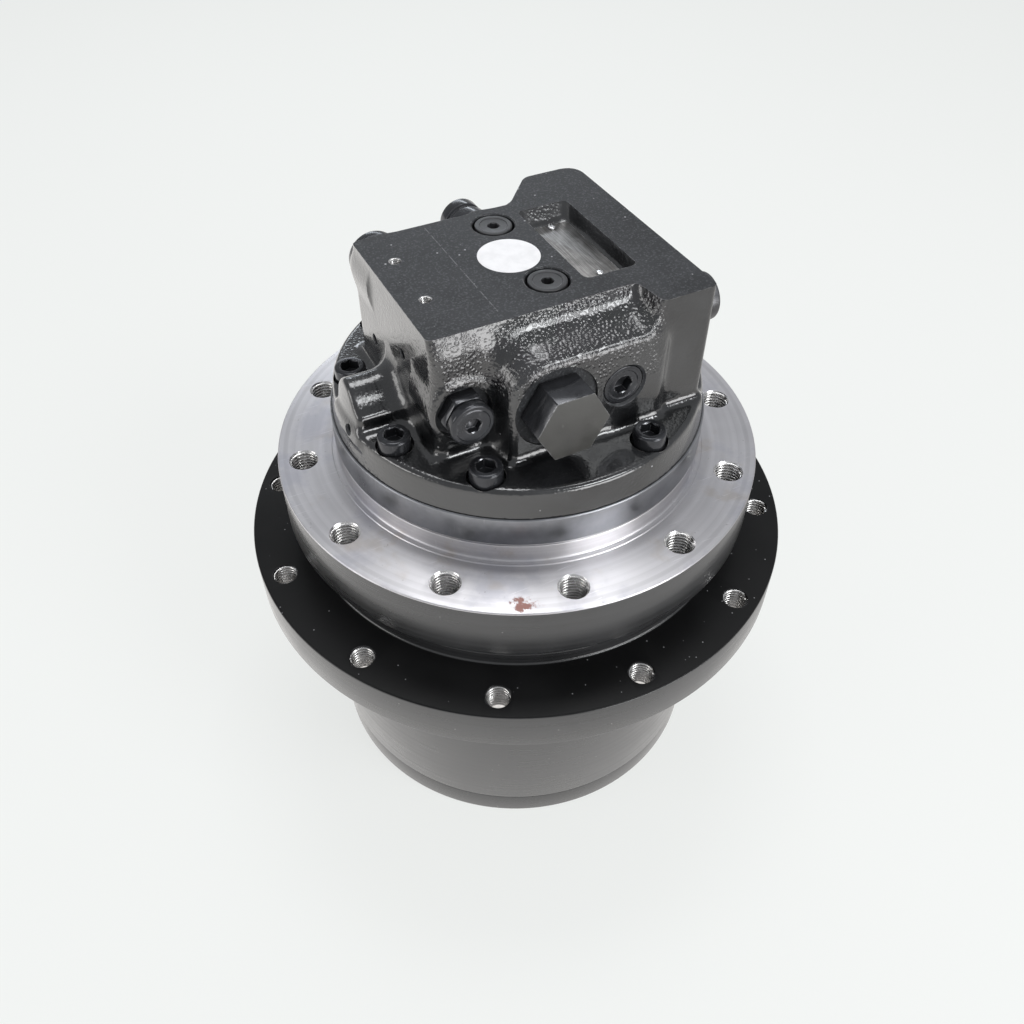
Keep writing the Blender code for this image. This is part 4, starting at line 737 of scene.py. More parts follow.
def thread_tree():
    """A screw thread at each point of a mesh: a rounded ridge swept along a helix."""
    product = ("ShaderNodeMath", ("operation", "MULTIPLY"))
    return make_tree(
        "threads_in_holes",
        [("Bore Radius", "Float", 0.008), ("Pitch", "Float", 0.002), ("Turns", "Int", 8),
         ("Points Per Turn", "Int", 24), ("Ridge", "Float", 0.40)],
        {"helix": ("GeometryNodeCurveSpiral",), "height": product, "ridge": product,
         "drop": product, "upright": ("GeometryNodeSetCurveNormal", ("mode", "Z_UP")),
         "section": ("GeometryNodeCurvePrimitiveCircle",), "sweep": ("GeometryNodeCurveToMesh",),
         "down": ("ShaderNodeCombineXYZ",), "lowered": ("GeometryNodeTransform",),
         "copies": ("GeometryNodeInstanceOnPoints",)},
        [("in.Pitch", "height.0"), ("in.Turns", "height.1"), ("in.Pitch", "ridge.0"),
         ("in.Ridge", "ridge.1"), ("in.Points Per Turn", "helix.Resolution"),
         ("in.Turns", "helix.Rotations"), ("in.Bore Radius", "helix.Start Radius"),
         ("in.Bore Radius", "helix.End Radius"), ("height.0", "helix.Height"),
         (6, "section.Resolution"), ("ridge.0", "section.Radius"), (True, "sweep.Fill Caps"),
         ("helix.Curve", "upright.Curve"),
         ("upright.Curve", "sweep.Curve"), ("section.Curve", "sweep.Profile Curve"),
         ("height.0", "drop.0"), (-1.0, "drop.1"), ("drop.0", "down.Z"),
         ("sweep.Mesh", "lowered.Geometry"), ("down.Vector", "lowered.Translation"),
         ("in.Geometry", "copies.Points"), ("lowered.Geometry", "copies.Instance"),
         ("copies.Instances", "real.Geometry")])


def turned_tree():
    """A turned ring: its closed outline swept round the axis, less a ring of drilled holes."""
    return make_tree(
        "turned_ring_with_holes",
        [("Path Radius", "Float", 0.1), ("Segments", "Int", TURNED_SEGMENTS),
         ("Drill", "Object", None), ("Holes", "Int", 12), ("Hole Circle", "Float", 0.13),
         ("First Angle", "Float", 0.0)],
        {"outline": ("GeometryNodeMeshToCurve",), "path": ("GeometryNodeCurvePrimitiveCircle",),
         "upright": ("GeometryNodeSetCurveNormal", ("mode", "Z_UP")),
         "sweep": ("GeometryNodeCurveToMesh",),
         "drill": ("GeometryNodeObjectInfo", ("transform_space", "ORIGINAL")),
         "circle": ("GeometryNodeMeshCircle",), "angle": ("ShaderNodeCombineXYZ",),
         "phase": ("GeometryNodeTransform",), "copies": ("GeometryNodeInstanceOnPoints",),
         "bores": ("GeometryNodeRealizeInstances",),
         "drilled": ("GeometryNodeMeshBoolean", ("operation", "DIFFERENCE"),
                     ("solver", "MANIFOLD"))},
        [("in.Segments", "path.Resolution"), ("in.Path Radius", "path.Radius"),
         ("in.Geometry", "outline.Mesh"), ("path.Curve", "upright.Curve"),
         ("upright.Curve", "sweep.Curve"), ("outline.Curve", "sweep.Profile Curve"),
         ("in.Drill", "drill.Object"), ("in.Holes", "circle.Vertices"),
         ("in.Hole Circle", "circle.Radius"), ("in.First Angle", "angle.Z"),
         ("circle.Mesh", "phase.Geometry"), ("angle.Vector", "phase.Rotation"),
         ("phase.Geometry", "copies.Points"), ("drill.Geometry", "copies.Instance"),
         ("copies.Instances", "bores.Geometry"), ("sweep.Mesh", "drilled.Mesh 1"),
         ("bores.Geometry", "drilled.Mesh 2"), ("drilled.Mesh", "real.Geometry")])


def run_tree(obj, tree, **settings):
    """Runs a tree on an object, its inputs set by socket identifier, and keeps a plain mesh."""
    modifier = obj.modifiers.new(tree.name, "NODES")
    modifier.node_group = tree
    for item in tree.interface.items_tree:
        key = item.name.replace(" ", "_").lower()
        if item.item_type == "SOCKET" and item.in_out == "INPUT" and key in settings:
            modifier[item.identifier] = settings.pop(key)
    if settings:
        raise RuntimeError(f"{tree.name} has no inputs {sorted(settings)}")
    bake(obj)
    if not obj.data.polygons:
        raise RuntimeError(f"{obj.name}: the node tree {tree.name} made no faces")
    return obj


def repeated(name, piece, places, material, largest_turn=0.0):
    """A piece at each of its places; the piece itself is removed."""
    obj = run_tree(mesh_object(name, places), place_tree(), piece=piece, largest_turn=largest_turn,
                   material=material)
    discard(piece)
    return obj


def build_threads(name, places, body, bore, pitch, turns, material, points_per_turn=24):
    """Threads in the holes whose mouths are named, seated on their body."""
    obj = run_tree(mesh_object(name, places), thread_tree(), bore_radius=bore, pitch=pitch,
                   turns=turns, points_per_turn=points_per_turn, material=material)
    finished(obj, body, slot="bright_steel", angle=radians(75))


def turned_ring(name, outline, drill, ring, material):
    """Closed ring with equal holes from an outline of (radius, height)."""
    holes, hole_circle, first_angle = ring
    path_radius = sum(r for r, _ in outline) / len(outline)
    if signed_area(outline) > 0:
        outline = outline[::-1]
    count = len(outline)
    obj = mesh_object(name, [(r - path_radius, -z, 0.0) for r, z in outline],
                      edges=[(i, (i + 1) % count) for i in range(count)])
    run_tree(obj, turned_tree(), path_radius=path_radius, drill=drill, holes=holes,
             hole_circle=hole_circle, first_angle=first_angle, material=material)
    discard(drill)
    return obj


# Shading
class Value:
    """An output of a shader node. Sums, differences and products of values make Math nodes."""

    def __init__(self, shading, socket):
        self.shading = shading
        self.socket = socket

    def maths(self, operation, *others):
        return self.shading.node("Math", 0, dict(enumerate((self, *others))), operation=operation)

    def __add__(self, other):
        return self.maths("ADD", other)

    def __sub__(self, other):
        return self.maths("SUBTRACT", other)

    def __mul__(self, other):
        return self.maths("MULTIPLY", other)

    def span(self, low, high, to_low=0.0, to_high=1.0):
        """Runs smoothly from to_low to to_high as the value runs from low to high."""
        ends = {"From Min": low, "From Max": high, "To Min": to_low, "To Max": to_high}
        return self.shading.node("MapRange", "Result", {"Value": self, **ends},
                                 interpolation_type="SMOOTHSTEP")

    def axis(self, name):
        return self.shading.node("SeparateXYZ", name, {"Vector": self})

    def beside(self, output):
        return Value(self.shading, self.socket.node.outputs[output])


class Shading:
    """A shader tree, with short calls for the nodes that the finishes are made of."""

    def __init__(self, tree):
        self.tree = tree

    def feed(self, node, inputs):
        for key, value in inputs.items():
            if isinstance(value, Value):
                self.tree.links.new(value.socket, node.inputs[key])
            else:
                node.inputs[key].default_value = value

    def node(self, kind, output, inputs=None, **settings):
        node = self.tree.nodes.new("ShaderNode" + kind)
        for name, value in settings.items():
            setattr(node, name, value)
        self.feed(node, inputs or {})
        return Value(self, node.outputs[output])

    def place(self, centre=(0.0, 0.0, 0.0), stretch=(1.0, 1.0, 1.0)):
        """Object coordinates measured from a centre, stretched along the axes."""
        return self.node("Mapping", "Vector", {
            "Vector": self.node("TexCoord", "Object"), "Scale": stretch,
            "Location": [-c * s for c, s in zip(centre, stretch)]})

    def noise(self, vector, scale, detail=3.0, roughness=0.55):
        return self.node("TexNoise", "Fac", {"Vector": vector, "Scale": scale, "Detail": detail,
                                             "Roughness": roughness})

    def mixed(self, factor, *colours):
        a, b = [(*c, 1.0) if isinstance(c, tuple) else c for c in colours]
        return self.node("Mix", "Result", {"Factor": factor, "A": a, "B": b}, data_type="RGBA")

    def coated(self, colour, *coats):
        """Lays colours over a colour, each under its mask."""
        for mask, over in coats:
            colour = self.mixed(mask, colour, over)
        return colour

    def shared(self, name, output="Mask", **values):
        """An output of a shared group, which is built once and placed with its own values."""
        if name not in MADE_GROUPS:
            MADE_GROUPS[name] = make_group(name, *SHARED_GROUPS[name])
        node = self.tree.nodes.new("ShaderNodeGroup")
        node.node_tree = MADE_GROUPS[name]
        self.feed(node, values)
        return Value(self, node.outputs[output])

    def wear(self, scale, threshold):
        return self.shared("edge_wear", Scale=scale, Threshold=threshold)

    def specks(self, scale, share):
        return self.shared("dust_specks", Scale=scale, Share=share)

    def rings(self, scale, output="Height"):
        return self.shared("turning_marks", output, Rings=scale)


def make_group(name, work, numbers):
    tree = bpy.data.node_groups.new(name, "ShaderNodeTree")
    for label, default in numbers.items():
        socket = tree.interface.new_socket(label, in_out="INPUT", socket_type="NodeSocketFloat")
        socket.default_value = default
    shading = Shading(tree)
    start = tree.nodes.new("NodeGroupInput")
    results = work(shading, *[Value(shading, start.outputs[label]) for label in numbers])
    for label in results:
        tree.interface.new_socket(label, in_out="OUTPUT", socket_type="NodeSocketFloat")
    shading.feed(tree.nodes.new("NodeGroupOutput"), results)
    return tree


def edge_wear(s, scale, threshold):
    """Mask of the outside edges, broken up by noise, from how far a rounded normal leans over."""
    soft = s.node("Bevel", "Normal", {"Radius": 0.0007}, samples=4)
    lean = s.node("VectorMath", "Value", {0: soft, 1: s.node("NewGeometry", "Normal")},
                  operation="DOT_PRODUCT")
    patch = s.noise(s.place(), scale, 4.0, 0.5)
    return {"Mask": lean.span(0.985, 0.90) * (patch - threshold).span(-0.02, 0.06)}


def dust_specks(s, scale, share):
    """Sparse light specks of dust and chips, as a mask."""
    cell = s.node("TexVoronoi", "Distance", {"Vector": s.place(), "Scale": scale}, feature="F1")
    pick = s.node("SeparateColor", "Red", {"Color": cell.beside("Color")})
    return {"Mask": cell.span(0.16, 0.06) * pick.maths("LESS_THAN", share)}


def cast_grain(s, scale):
    """Height of a sand-cast skin under paint: rounded grains on soft waves."""
    place = s.place()
    grain = s.node("TexVoronoi", "Distance", {"Vector": place, "Scale": scale, "Smoothness": 0.6},
                   feature="SMOOTH_F1").span(0.75, 0.1)
    gate = s.noise(place, 95.0, 2.0).span(0.34, 0.60, 0.30, 1.0)
    return {"Height": (grain * gate).maths("MULTIPLY_ADD", 1.6, s.noise(place, 120.0, 2.0) * 0.6)}


def turning_marks(s, rings):
    """Marks of turning about Z: a height of fine rings, and a tone that varies in bands."""
    x, y, z = [s.place().axis(name) for name in "XYZ"]
    line = s.node("CombineXYZ", "Vector", {"X": (x * x + y * y).maths("SQRT"), "Y": z})
    return {"Height": s.noise(line, rings, 2.0, 0.5), "Tone": s.noise(line, 260.0)}


def fine_scratches(s, scale):
    """Thin straight scratches in two directions, as a mask."""
    masks = []
    for angle, thin in ((radians(28), 26.0), (radians(-52), 31.0)):
        line = s.node("Mapping", "Vector", {"Vector": s.place(), "Rotation": (0.0, 0.0, angle),
                                            "Scale": (1.0, thin, 1.0)})
        masks.append(s.noise(line, scale, 2.0, 0.5).span(0.70, 0.78))
    return {"Mask": masks[0].maths("MAXIMUM", masks[1])}


MADE_GROUPS = {}
SHARED_GROUPS = {
    "edge_wear": (edge_wear, {"Scale": 220.0, "Threshold": 0.5}),
    "dust_specks": (dust_specks, {"Scale": 260.0, "Share": 0.10}),
    "cast_grain": (cast_grain, {"Scale": 520.0}),
    "turning_marks": (turning_marks, {"Rings": 900.0}),
    "fine_scratches": (fine_scratches, {"Scale": 30.0}),
}


class Finish(Shading):
    """A material, whose Principled shader takes what is worked out in its tree."""

    def __init__(self, name, **inputs):
        self.material = bpy.data.materials.new(name)
        self.material.use_nodes = True
        super().__init__(self.material.node_tree)
        self.shader = self.tree.nodes["Principled BSDF"]
        self.set(**inputs)

    def set(self, **inputs):
        """Sets or links inputs of the Principled shader, named in lower case."""
        names = {name.replace(" ", "_").lower(): name for name in self.shader.inputs.keys()}
        self.feed(self.shader, {names[key]: value for key, value in inputs.items()})

    def done(self, colour, height, strength, distance=0.0002, **inputs):
        normal = self.node("Bump", "Normal", {"Strength": strength, "Distance": distance,
                                              "Height": height})
        self.set(base_color=colour, normal=normal, **inputs)
        return self.material


def tint(colour, factor=1.0):
    return tuple(min(1.0, c * factor) for c in colour)


def cast_enamel(colours):
    """Gloss enamel that ran over a rough casting."""
    s = Finish("cast_enamel", specular_ior_level=0.70, coat_weight=0.40, coat_roughness=0.06)
    place = s.place()
    patch = s.noise(place, 34.0, 4.0)
    specks = s.specks(230.0, 0.05)
    colour = s.coated(
        tint(colours.enamel, 0.75), (patch.span(0.35, 0.7), tint(colours.enamel, 1.6)),
        (specks, (0.30, 0.30, 0.31)), (s.wear(170.0, 0.56), (0.11, 0.105, 0.10)))
    slope = (place.axis("Y").span(-0.044, -0.056) * place.axis("Z").span(0.314, 0.326)
             * place.axis("X").span(0.050, 0.042))
    coarse = s.shared("cast_grain", "Height", Scale=560.0) * slope.maths("MULTIPLY_ADD", 0.80, 0.20)
    return s.done(colour, coarse, 0.50, 0.00050,
                  roughness=patch.span(0.3, 0.7, 0.16, 0.26) + specks * 0.4)


def milled_enamel(colours):
    """Thin satin paint over a milled face, with dust, faint scuffs and a scribed line."""
    s = Finish("milled_enamel", specular_ior_level=0.16)
    place = s.place()
    patch = s.noise(place, 26.0, 5.0, 0.62)
    grit = s.noise(place, 900.0, 2.0).span(0.50, 0.72)
    specks = s.specks(210.0, 0.10)
    near = s.place(SCRIBED_PLACE)
    line = s.noise(place, 210.0).span(0.40, 0.55)
    for axis, low, high in (("X", 0.00038, 0.00012), ("Y", 0.0460, 0.0452), ("Z", 0.0003, 0.0001)):
        line = line * near.axis(axis).maths("ABSOLUTE").span(low, high)
    colour = s.coated(
        tint(colours.enamel, 2.2), (patch.span(0.3, 0.72), tint(colours.enamel, 4.0)),
        (grit * 0.45, tint(colours.enamel, 12.0)),
        (s.shared("fine_scratches", Scale=46.0) * 0.22, (0.16, 0.16, 0.165)),
        (specks, (0.42, 0.42, 0.43)), (line * 0.75, (0.17, 0.17, 0.175)),
        (s.wear(240.0, 0.50), (0.20, 0.20, 0.205)))
    return s.done(colour, s.noise(place, 1500.0, 2.0) * 0.12 - line, 0.35,
                  roughness=patch.span(0.3, 0.75, 0.46, 0.60) + specks * 0.3)


def satin_black(colours):
    """Flat black of the sprocket flange: even, with a few specks and rubbed edges."""
    s = Finish("satin_black", specular_ior_level=0.16)
    patch = s.noise(s.place(), 14.0, 4.0)
    colour = s.coated(
        tint(colours.satin, 0.6), (patch.span(0.3, 0.7), tint(colours.satin, 1.2)),
        (s.specks(320.0, 0.12), (0.30, 0.30, 0.31)), (s.wear(150.0, 0.52), (0.075, 0.075, 0.08)))
    height = s.rings(1100.0).maths("MULTIPLY_ADD", 0.5, s.noise(s.place(), 900.0, 2.0))
    return s.done(colour, height, 0.10, roughness=patch.span(0.3, 0.7, 0.38, 0.50))


def charcoal_satin(colours):
    """Dark satin paint of the turned housings, with soft streaks along the turning."""
    s = Finish("charcoal_satin", specular_ior_level=0.6, coat_weight=0.20, coat_roughness=0.15)
    patch = s.noise(s.place(), 18.0, 4.0)
    level = s.rings(900.0, "Tone").maths("MULTIPLY_ADD", 0.45, patch * 0.55)
    colour = s.coated(
        tint(colours.charcoal, 0.72), (level.span(0.35, 0.65), tint(colours.charcoal, 1.5)),
        (s.specks(300.0, 0.03), (0.20, 0.195, 0.19)), (s.wear(120.0, 0.50), (0.17, 0.17, 0.175)))
    height = s.rings(1000.0).maths("MULTIPLY_ADD", 0.6, s.noise(s.place(), 700.0, 2.0))
    return s.done(colour, height, 0.14, roughness=level.span(0.35, 0.65, 0.24, 0.36))


def bare_flange(colours):
    """Turned steel left bare: rings, scratches, bluish and brown stains, a patch of light rust."""
    s = Finish("bare_flange", anisotropic=0.60, anisotropic_rotation=0.25)
    s.set(tangent=s.node("Tangent", "Tangent", direction_type="RADIAL", axis="Z"))
    place = s.place()
    stain = s.noise(place, 21.0, 5.0, 0.62)
    cloud = s.noise(s.place((0.05, 0.02, 0.0)), 48.0, 4.0)
    marks = s.noise(place, 330.0, 4.0, 0.7).span(0.66, 0.74)
    x, y, z = [s.place(RUST_PLACE).axis(name) for name in "XYZ"]
    spot = s.noise(place, 150.0, 7.0, 0.78) * 0.0400 - (x * x + y * y).maths("SQRT")
    rust = spot.span(0.0150, 0.0178) * z.maths("ABSOLUTE").span(0.0010, 0.0006)
    colour = s.coated(
        tint(colours.flange, 0.90),
        (s.rings(900.0, "Tone").span(0.35, 0.65), tint(colours.flange, 1.06)),
        (stain.span(0.48, 0.62) * 0.50, (0.38, 0.38, 0.43)),
        (cloud.span(0.56, 0.72) * 0.34, (0.40, 0.34, 0.28)),
        (s.shared("fine_scratches", Scale=40.0) * 0.5, (0.80, 0.80, 0.82)),
        (marks * 0.55, (0.13, 0.12, 0.12)), (rust * 0.85, tint(colours.rust)))
    dull = rust.maths("MAXIMUM", marks * 0.6)
    return s.done(colour, s.rings(1300.0), 0.06, metallic=dull.maths("MULTIPLY_ADD", -0.9, 1.0),
                  roughness=stain.span(0.3, 0.7, 0.36, 0.48) + dull * 0.35)


def steel(name, colour, roughness, wear_colour, scale=60.0, grain=0.10, metallic=1.0):
    """Metal with uneven tone, scuffs and brighter edges."""
    s = Finish(name, metallic=metallic)
    patch = s.noise(s.place(), scale, 4.0, 0.6)
    colour = s.coated(
        tint(colour, 0.78), (patch.span(0.3, 0.7), tint(colour, 1.18)),
        (s.shared("fine_scratches", Scale=scale) * 0.3, wear_colour),
        (s.wear(scale * 4, 0.46), wear_colour))
    return s.done(colour, s.noise(s.place(), 1100.0, 2.0), grain,
                  roughness=patch.span(0.3, 0.7, roughness * 0.8, roughness * 1.25))


def rubber():
    """Rubber: dull, slightly uneven, with a faint bloom."""
    s = Finish("rubber", specular_ior_level=0.35)
    black = (0.016, 0.016, 0.016)
    patch = s.noise(s.place(), 90.0, 4.0)
    colour = s.coated(black, (patch.span(0.4, 0.75), tint(black, 2.4)),
                      (s.wear(300.0, 0.5), tint(black, 4.0)))
    return s.done(colour, s.noise(s.place(), 1400.0, 2.0), 0.2,
                  roughness=patch.span(0.3, 0.7, 0.6375, 0.825))


def sticker_paper(colours):
    """Blank glossy paper with soft creases and a few rubbed marks."""
    s = Finish("sticker_paper", roughness=0.45, specular_ior_level=0.45)
    place = s.place((*STICKER_CENTRE, HEAD_TOP))
    smudge = s.noise(place, 420.0, 3.0, 0.7).span(0.68, 0.76)
    colour = s.coated(
        tint(colours.sticker),
        (s.noise(place, 120.0, 4.0).span(0.35, 0.7), tint(colours.sticker, 0.90)),
        (smudge * 0.35, (0.45, 0.44, 0.44)))
    return s.done(colour, s.noise(place, 160.0), 0.25, 0.0003)


def plate_metal():
    """Brushed plate with lengthwise grain and light oil stains."""
    s = Finish("plate_metal", metallic=1.0)
    brushed = s.noise(s.place((PLATE_X, PLATE_Y, POCKET_FLOOR), (1.0, 0.04, 1.0)), 1500.0)
    stain = s.noise(s.place(), 70.0, 4.0)
    colour = s.coated(
        (0.15, 0.145, 0.14), (brushed.span(0.3, 0.7), (0.30, 0.295, 0.29)),
        (stain.span(0.5, 0.7) * 0.55, (0.10, 0.098, 0.095)),
        (s.wear(300.0, 0.4), (0.75, 0.75, 0.76)))
    return s.done(colour, brushed, 0.12, roughness=stain.span(0.3, 0.7, 0.30, 0.48))


# Name: colour, roughness, colour of the wear, then scale of the pattern, grain and how metallic
STEELS = {
    "dark_rim": ((0.23, 0.235, 0.25), 0.32, (0.45, 0.45, 0.46), 30.0, 0.04),
    "thread_steel": ((0.62, 0.61, 0.60), 0.24, (0.90, 0.90, 0.90), 120.0, 0.05),
    "gloss_screw": ((0.036, 0.037, 0.041), 0.18, (0.26, 0.26, 0.27), 80.0, 0.04, 0.55),
    "dark_screw": ((0.028, 0.028, 0.030), 0.40, (0.12, 0.12, 0.125), 90.0, 0.12, 0.2),
    "plug_face": ((0.040, 0.039, 0.036), 0.55, (0.24, 0.24, 0.24), 90.0, 0.35, 0.0),
    "worn_steel": ((0.11, 0.11, 0.115), 0.38, (0.40, 0.40, 0.41), 70.0),
    "gear_steel": ((0.42, 0.41, 0.40), 0.30, (0.62, 0.62, 0.62)),
    "ground_steel": ((0.58, 0.58, 0.59), 0.18, (0.75, 0.75, 0.76), 60.0, 0.04),
    "bright_rivet": ((0.82, 0.82, 0.83), 0.25, (0.95, 0.95, 0.95), 200.0),
    "bronze": ((0.50, 0.30, 0.13), 0.32, (0.75, 0.52, 0.28), 70.0),
}
PAINTS = {}


def paints_of(colours):
    """The finishes by name, made once for all pieces."""
    if not PAINTS:
        for maker in (cast_enamel, milled_enamel, satin_black, charcoal_satin, bare_flange,
                      sticker_paper):
            PAINTS[maker.__name__] = maker(colours)
        PAINTS.update({"plate_metal": plate_metal(), "rubber": rubber()})
        PAINTS.update({name: steel(name, *numbers) for name, numbers in STEELS.items()})
    return PAINTS


# Hub pieces
def off_hole(centre, count, circle, phase):
    """Distance of a point from the middle of the nearest hole in a ring."""
    radius = hypot(centre[0], centre[1])
    pitch = 2 * pi / count
    off = (atan2(centre[1], centre[0]) - phase + pitch / 2) % pitch - pitch / 2
    return hypot(radius * cos(off) - circle, radius * sin(off))


def hub_region(centre, normal):
    z = centre[2]
    in_hole = SPROCKET_BOTTOM < z < SPROCKET_TOP - 0.0001
    if in_hole and off_hole(centre, *SPROCKET_RING) < SPROCKET_BORE + 0.0001:
        return 2
    on_top = z > SPROCKET_TOP - 0.0004 and hypot(centre[0], centre[1]) > NECK_R + 0.001
    return 1 if on_top else 0


def build_gear_hub(sizes, paints):
    """Gear hub with the sprocket flange and its ring of threaded through holes."""
    edge, mouth, bore = sizes.edge_round, 0.0006, SPROCKET_BORE
    outline = rounded([
        (NECK_R, NECK_TOP, edge), (NECK_R, SPROCKET_TOP, 0.0016),
        (SPROCKET_R, SPROCKET_TOP, 0.0013), (SPROCKET_R, SPROCKET_BOTTOM, edge),
        (HUB_BARREL_R, SPROCKET_BOTTOM, 0.0050), (HUB_BARREL_R, 0.1200, 0.0300),
        (HUB_MOUTH_R, HUB_BOTTOM, 2 * edge), (HUB_BORE_R, HUB_BOTTOM, 0),
        (HUB_BORE_R, 0.1030, 0), (0.1190, 0.1900, 0), (0.1235, NECK_TOP, edge)], 5)
    wide = bore + mouth + OVERRUN
    drill = turned("sprocket_drill", [
        (0, SPROCKET_BOTTOM - OVERRUN), (wide, SPROCKET_BOTTOM - OVERRUN),
        (bore, SPROCKET_BOTTOM + mouth), (bore, SPROCKET_TOP - mouth),
        (wide, SPROCKET_TOP + OVERRUN), (0, SPROCKET_TOP + OVERRUN)], HOLE_SEGMENTS)
    hub = turned_ring("gear_hub_shell", outline, drill, SPROCKET_RING, paints["charcoal_satin"])
    finished(hub, HUB, "gear_hub", slot="black_paint", region=hub_region, materials=(
        paints["charcoal_satin"], paints["satin_black"], paints["thread_steel"]))
    build_threads("sprocket_threads", ring_places(SPROCKET_RING, SPROCKET_TOP - 0.0010), HUB, bore,
                  sizes.thread_pitch, sizes.thread_turns, paints["thread_steel"])


def cover_seat(radius, floor, chamfer):
    """Cutter of a sunk, chamfered seat in the end cover's lower face."""
    return turned("seat", [(0, -OVERRUN), (radius + chamfer + OVERRUN, -OVERRUN), (radius, chamfer),
                           (radius, floor), (0, floor)], HOLE_SEGMENTS)


def hex_socket(radius, depth, matrix):
    """Cutter of a hexagon socket with a small lead-in and a drilled tip, along the matrix's Z."""
    lead = 0.0005
    socket = prism("socket", ring_points(HEX, radius), -depth, OVERRUN)
    cone = turned("socket_lead", [(0, -lead), (radius * 0.88, -lead),
                                  (radius * 0.88 + lead + OVERRUN, OVERRUN), (0, OVERRUN)], 24)
    tip = turned("socket_tip", [(0, -depth - radius * 0.35), (radius * 0.8, -depth + 0.00002),
                                (0, -depth + 0.0002)], 24)
    return placed(unite(socket, cone, tip), matrix)


def socket_screw(name, head_r, head_h, shank_r, length, key_r, key_depth):
    """Socket-head screw: head above z 0, shank below, with a chamfered top and a hexagon socket."""
    screw = turned(name, rounded([
        (0, head_h, 0), (head_r, head_h, head_r * 0.16), (head_r, 0.0002, 0.0003),
        (shank_r, 0, 0), (shank_r, -length, 0.0004), (0, -length, 0)], 4), HOLE_SEGMENTS)
    return subtract(screw, hex_socket(key_r, key_depth, raised(head_h)))


def build_end_cover(sizes, paints):
    """End cover with its bolts and two oil plugs, seen from below."""
    edge, dark = sizes.edge_round, paints["dark_screw"]
    cover = turned("end_cover_shell", rounded([
        (0, 0, 0), (0.0240, 0, 0), (0.0255, 0.0012, 0), (0.0640, 0.0012, 0), (0.0655, 0, 0),
        (COVER_R, 0, 0.0025), (COVER_R, COVER_TOP, 2 * edge), (0.1140, COVER_TOP, 0),
        (0, COVER_TOP, 0)], 5))
    seats = copies_in_ring(cover_seat(0.0068, 0.0086, 0.0006), *COVER_RING)
    seats += copies_in_ring(cover_seat(0.0113, 0.0083, 0.0007), *OIL_PLUG_RING)
    subtract(cover, merged(seats))
    finished(cover, HUB, "end_cover", materials=(paints["charcoal_satin"],), slot="black_paint")

    bolt = placed(socket_screw("bolt", 0.0065, 0.0080, 0.0040, 0.0240, 0.0035, 0.0042),
                  upside_down(0.0085))
    bolts = repeated("cover_bolts", bolt, ring_places(COVER_RING, 0), dark, radians(60))
    finished(bolts, HUB, slot="black_steel")
    plug = turned("oil_plug", rounded([
        (0, 0.0004, 0), (0.0110, 0.0004, 0.0008), (0.0110, 0.0080, 0), (0, 0.0080, 0)], 3),
        HOLE_SEGMENTS)
    subtract(plug, hex_socket(0.0058, 0.0045, upside_down(0.0004)))
    plugs = repeated("oil_plugs", plug, ring_places(OIL_PLUG_RING, 0), dark, radians(50))
    finished(plugs, HUB, "oil_plug_1", "oil_plug_2", slot="dark_steel")


# Casing
def casing_region(centre, normal):
    z, radius = centre[2], hypot(centre[0], centre[1])
    in_hole = FRAME_TOP - FRAME_HOLE_DEPTH - FRAME_BORE < z < FRAME_TOP - 0.00001
    if in_hole and abs(normal[2]) < 0.9 and off_hole(centre, *FRAME_RING) < FRAME_BORE + 0.0011:
        return 2
    if radius <= 0.1:
        return 0
    if z > PILOT_TOP + 0.0010:
        return 3
    return 1 if z > FRAME_TOP - 0.0009 else 0


def build_motor_casing(sizes, paints):
    """Motor casing: skirt, bare frame flange with tapped holes, pilot, groove and rim."""
    edge, mouth, bore = sizes.edge_round, 0.0007, FRAME_BORE
    outline = rounded([
        (0.0885, CASING_TOP, 0), (0.0885, 0.2300, 0), (0.1000, 0.1940, 0),
        (0.1160, SKIRT_BOTTOM, edge), (NECK_R, SKIRT_BOTTOM, edge),
        (NECK_R, FRAME_BOTTOM, 0.0010), (FRAME_R, FRAME_BOTTOM, 0.0075),
        (FRAME_R, FRAME_TOP, edge), (PILOT_R + 0.0036, FRAME_TOP, 0.0005),
        (PILOT_R + 0.0032, FRAME_TOP + 0.0006, 0.0003), (PILOT_R, FRAME_TOP + 0.0006, 0.0012),
        (PILOT_R, PILOT_TOP, 0.0008), (GROOVE_R, PILOT_TOP, 0.0003), (GROOVE_R, GROOVE_TOP, 0.0003),
        (CASING_RIM_R, GROOVE_TOP, 0.0006), (CASING_RIM_R, CASING_TOP, edge)], 5)
    bottom = FRAME_TOP - FRAME_HOLE_DEPTH
    drill = turned("frame_drill", [
        (0, bottom - bore * 0.5), (bore, bottom), (bore, FRAME_TOP - mouth),
        (bore + mouth + OVERRUN, FRAME_TOP + OVERRUN), (0, FRAME_TOP + OVERRUN)], HOLE_SEGMENTS)
    casing = turned_ring("motor_casing_shell", outline, drill, FRAME_RING, paints["charcoal_satin"])
    finished(casing, MOTOR, "motor_casing", slot="black_paint", region=casing_region, materials=[
        paints[key] for key in ("charcoal_satin", "bare_flange", "thread_steel", "dark_rim")])
    build_threads("frame_threads", ring_places(FRAME_RING, FRAME_TOP - 0.0012), MOTOR, bore,
                  sizes.thread_pitch, sizes.thread_turns, paints["thread_steel"])


# Head
def bore_tool(radius, depth, place, direction, mouth=0.0, segments=HOLE_SEGMENTS, materials=()):
    """Cutter of a drilled hole with a conical floor and a chamfered mouth."""
    top = [(radius, -mouth), (radius + mouth + OVERRUN, OVERRUN)] if mouth else [(radius, OVERRUN)]
    outline = [(0, -depth - radius * 0.5), (radius, -depth), *top, (0, OVERRUN)]
    return placed(turned("bore", outline, segments, materials), facing(place, direction))


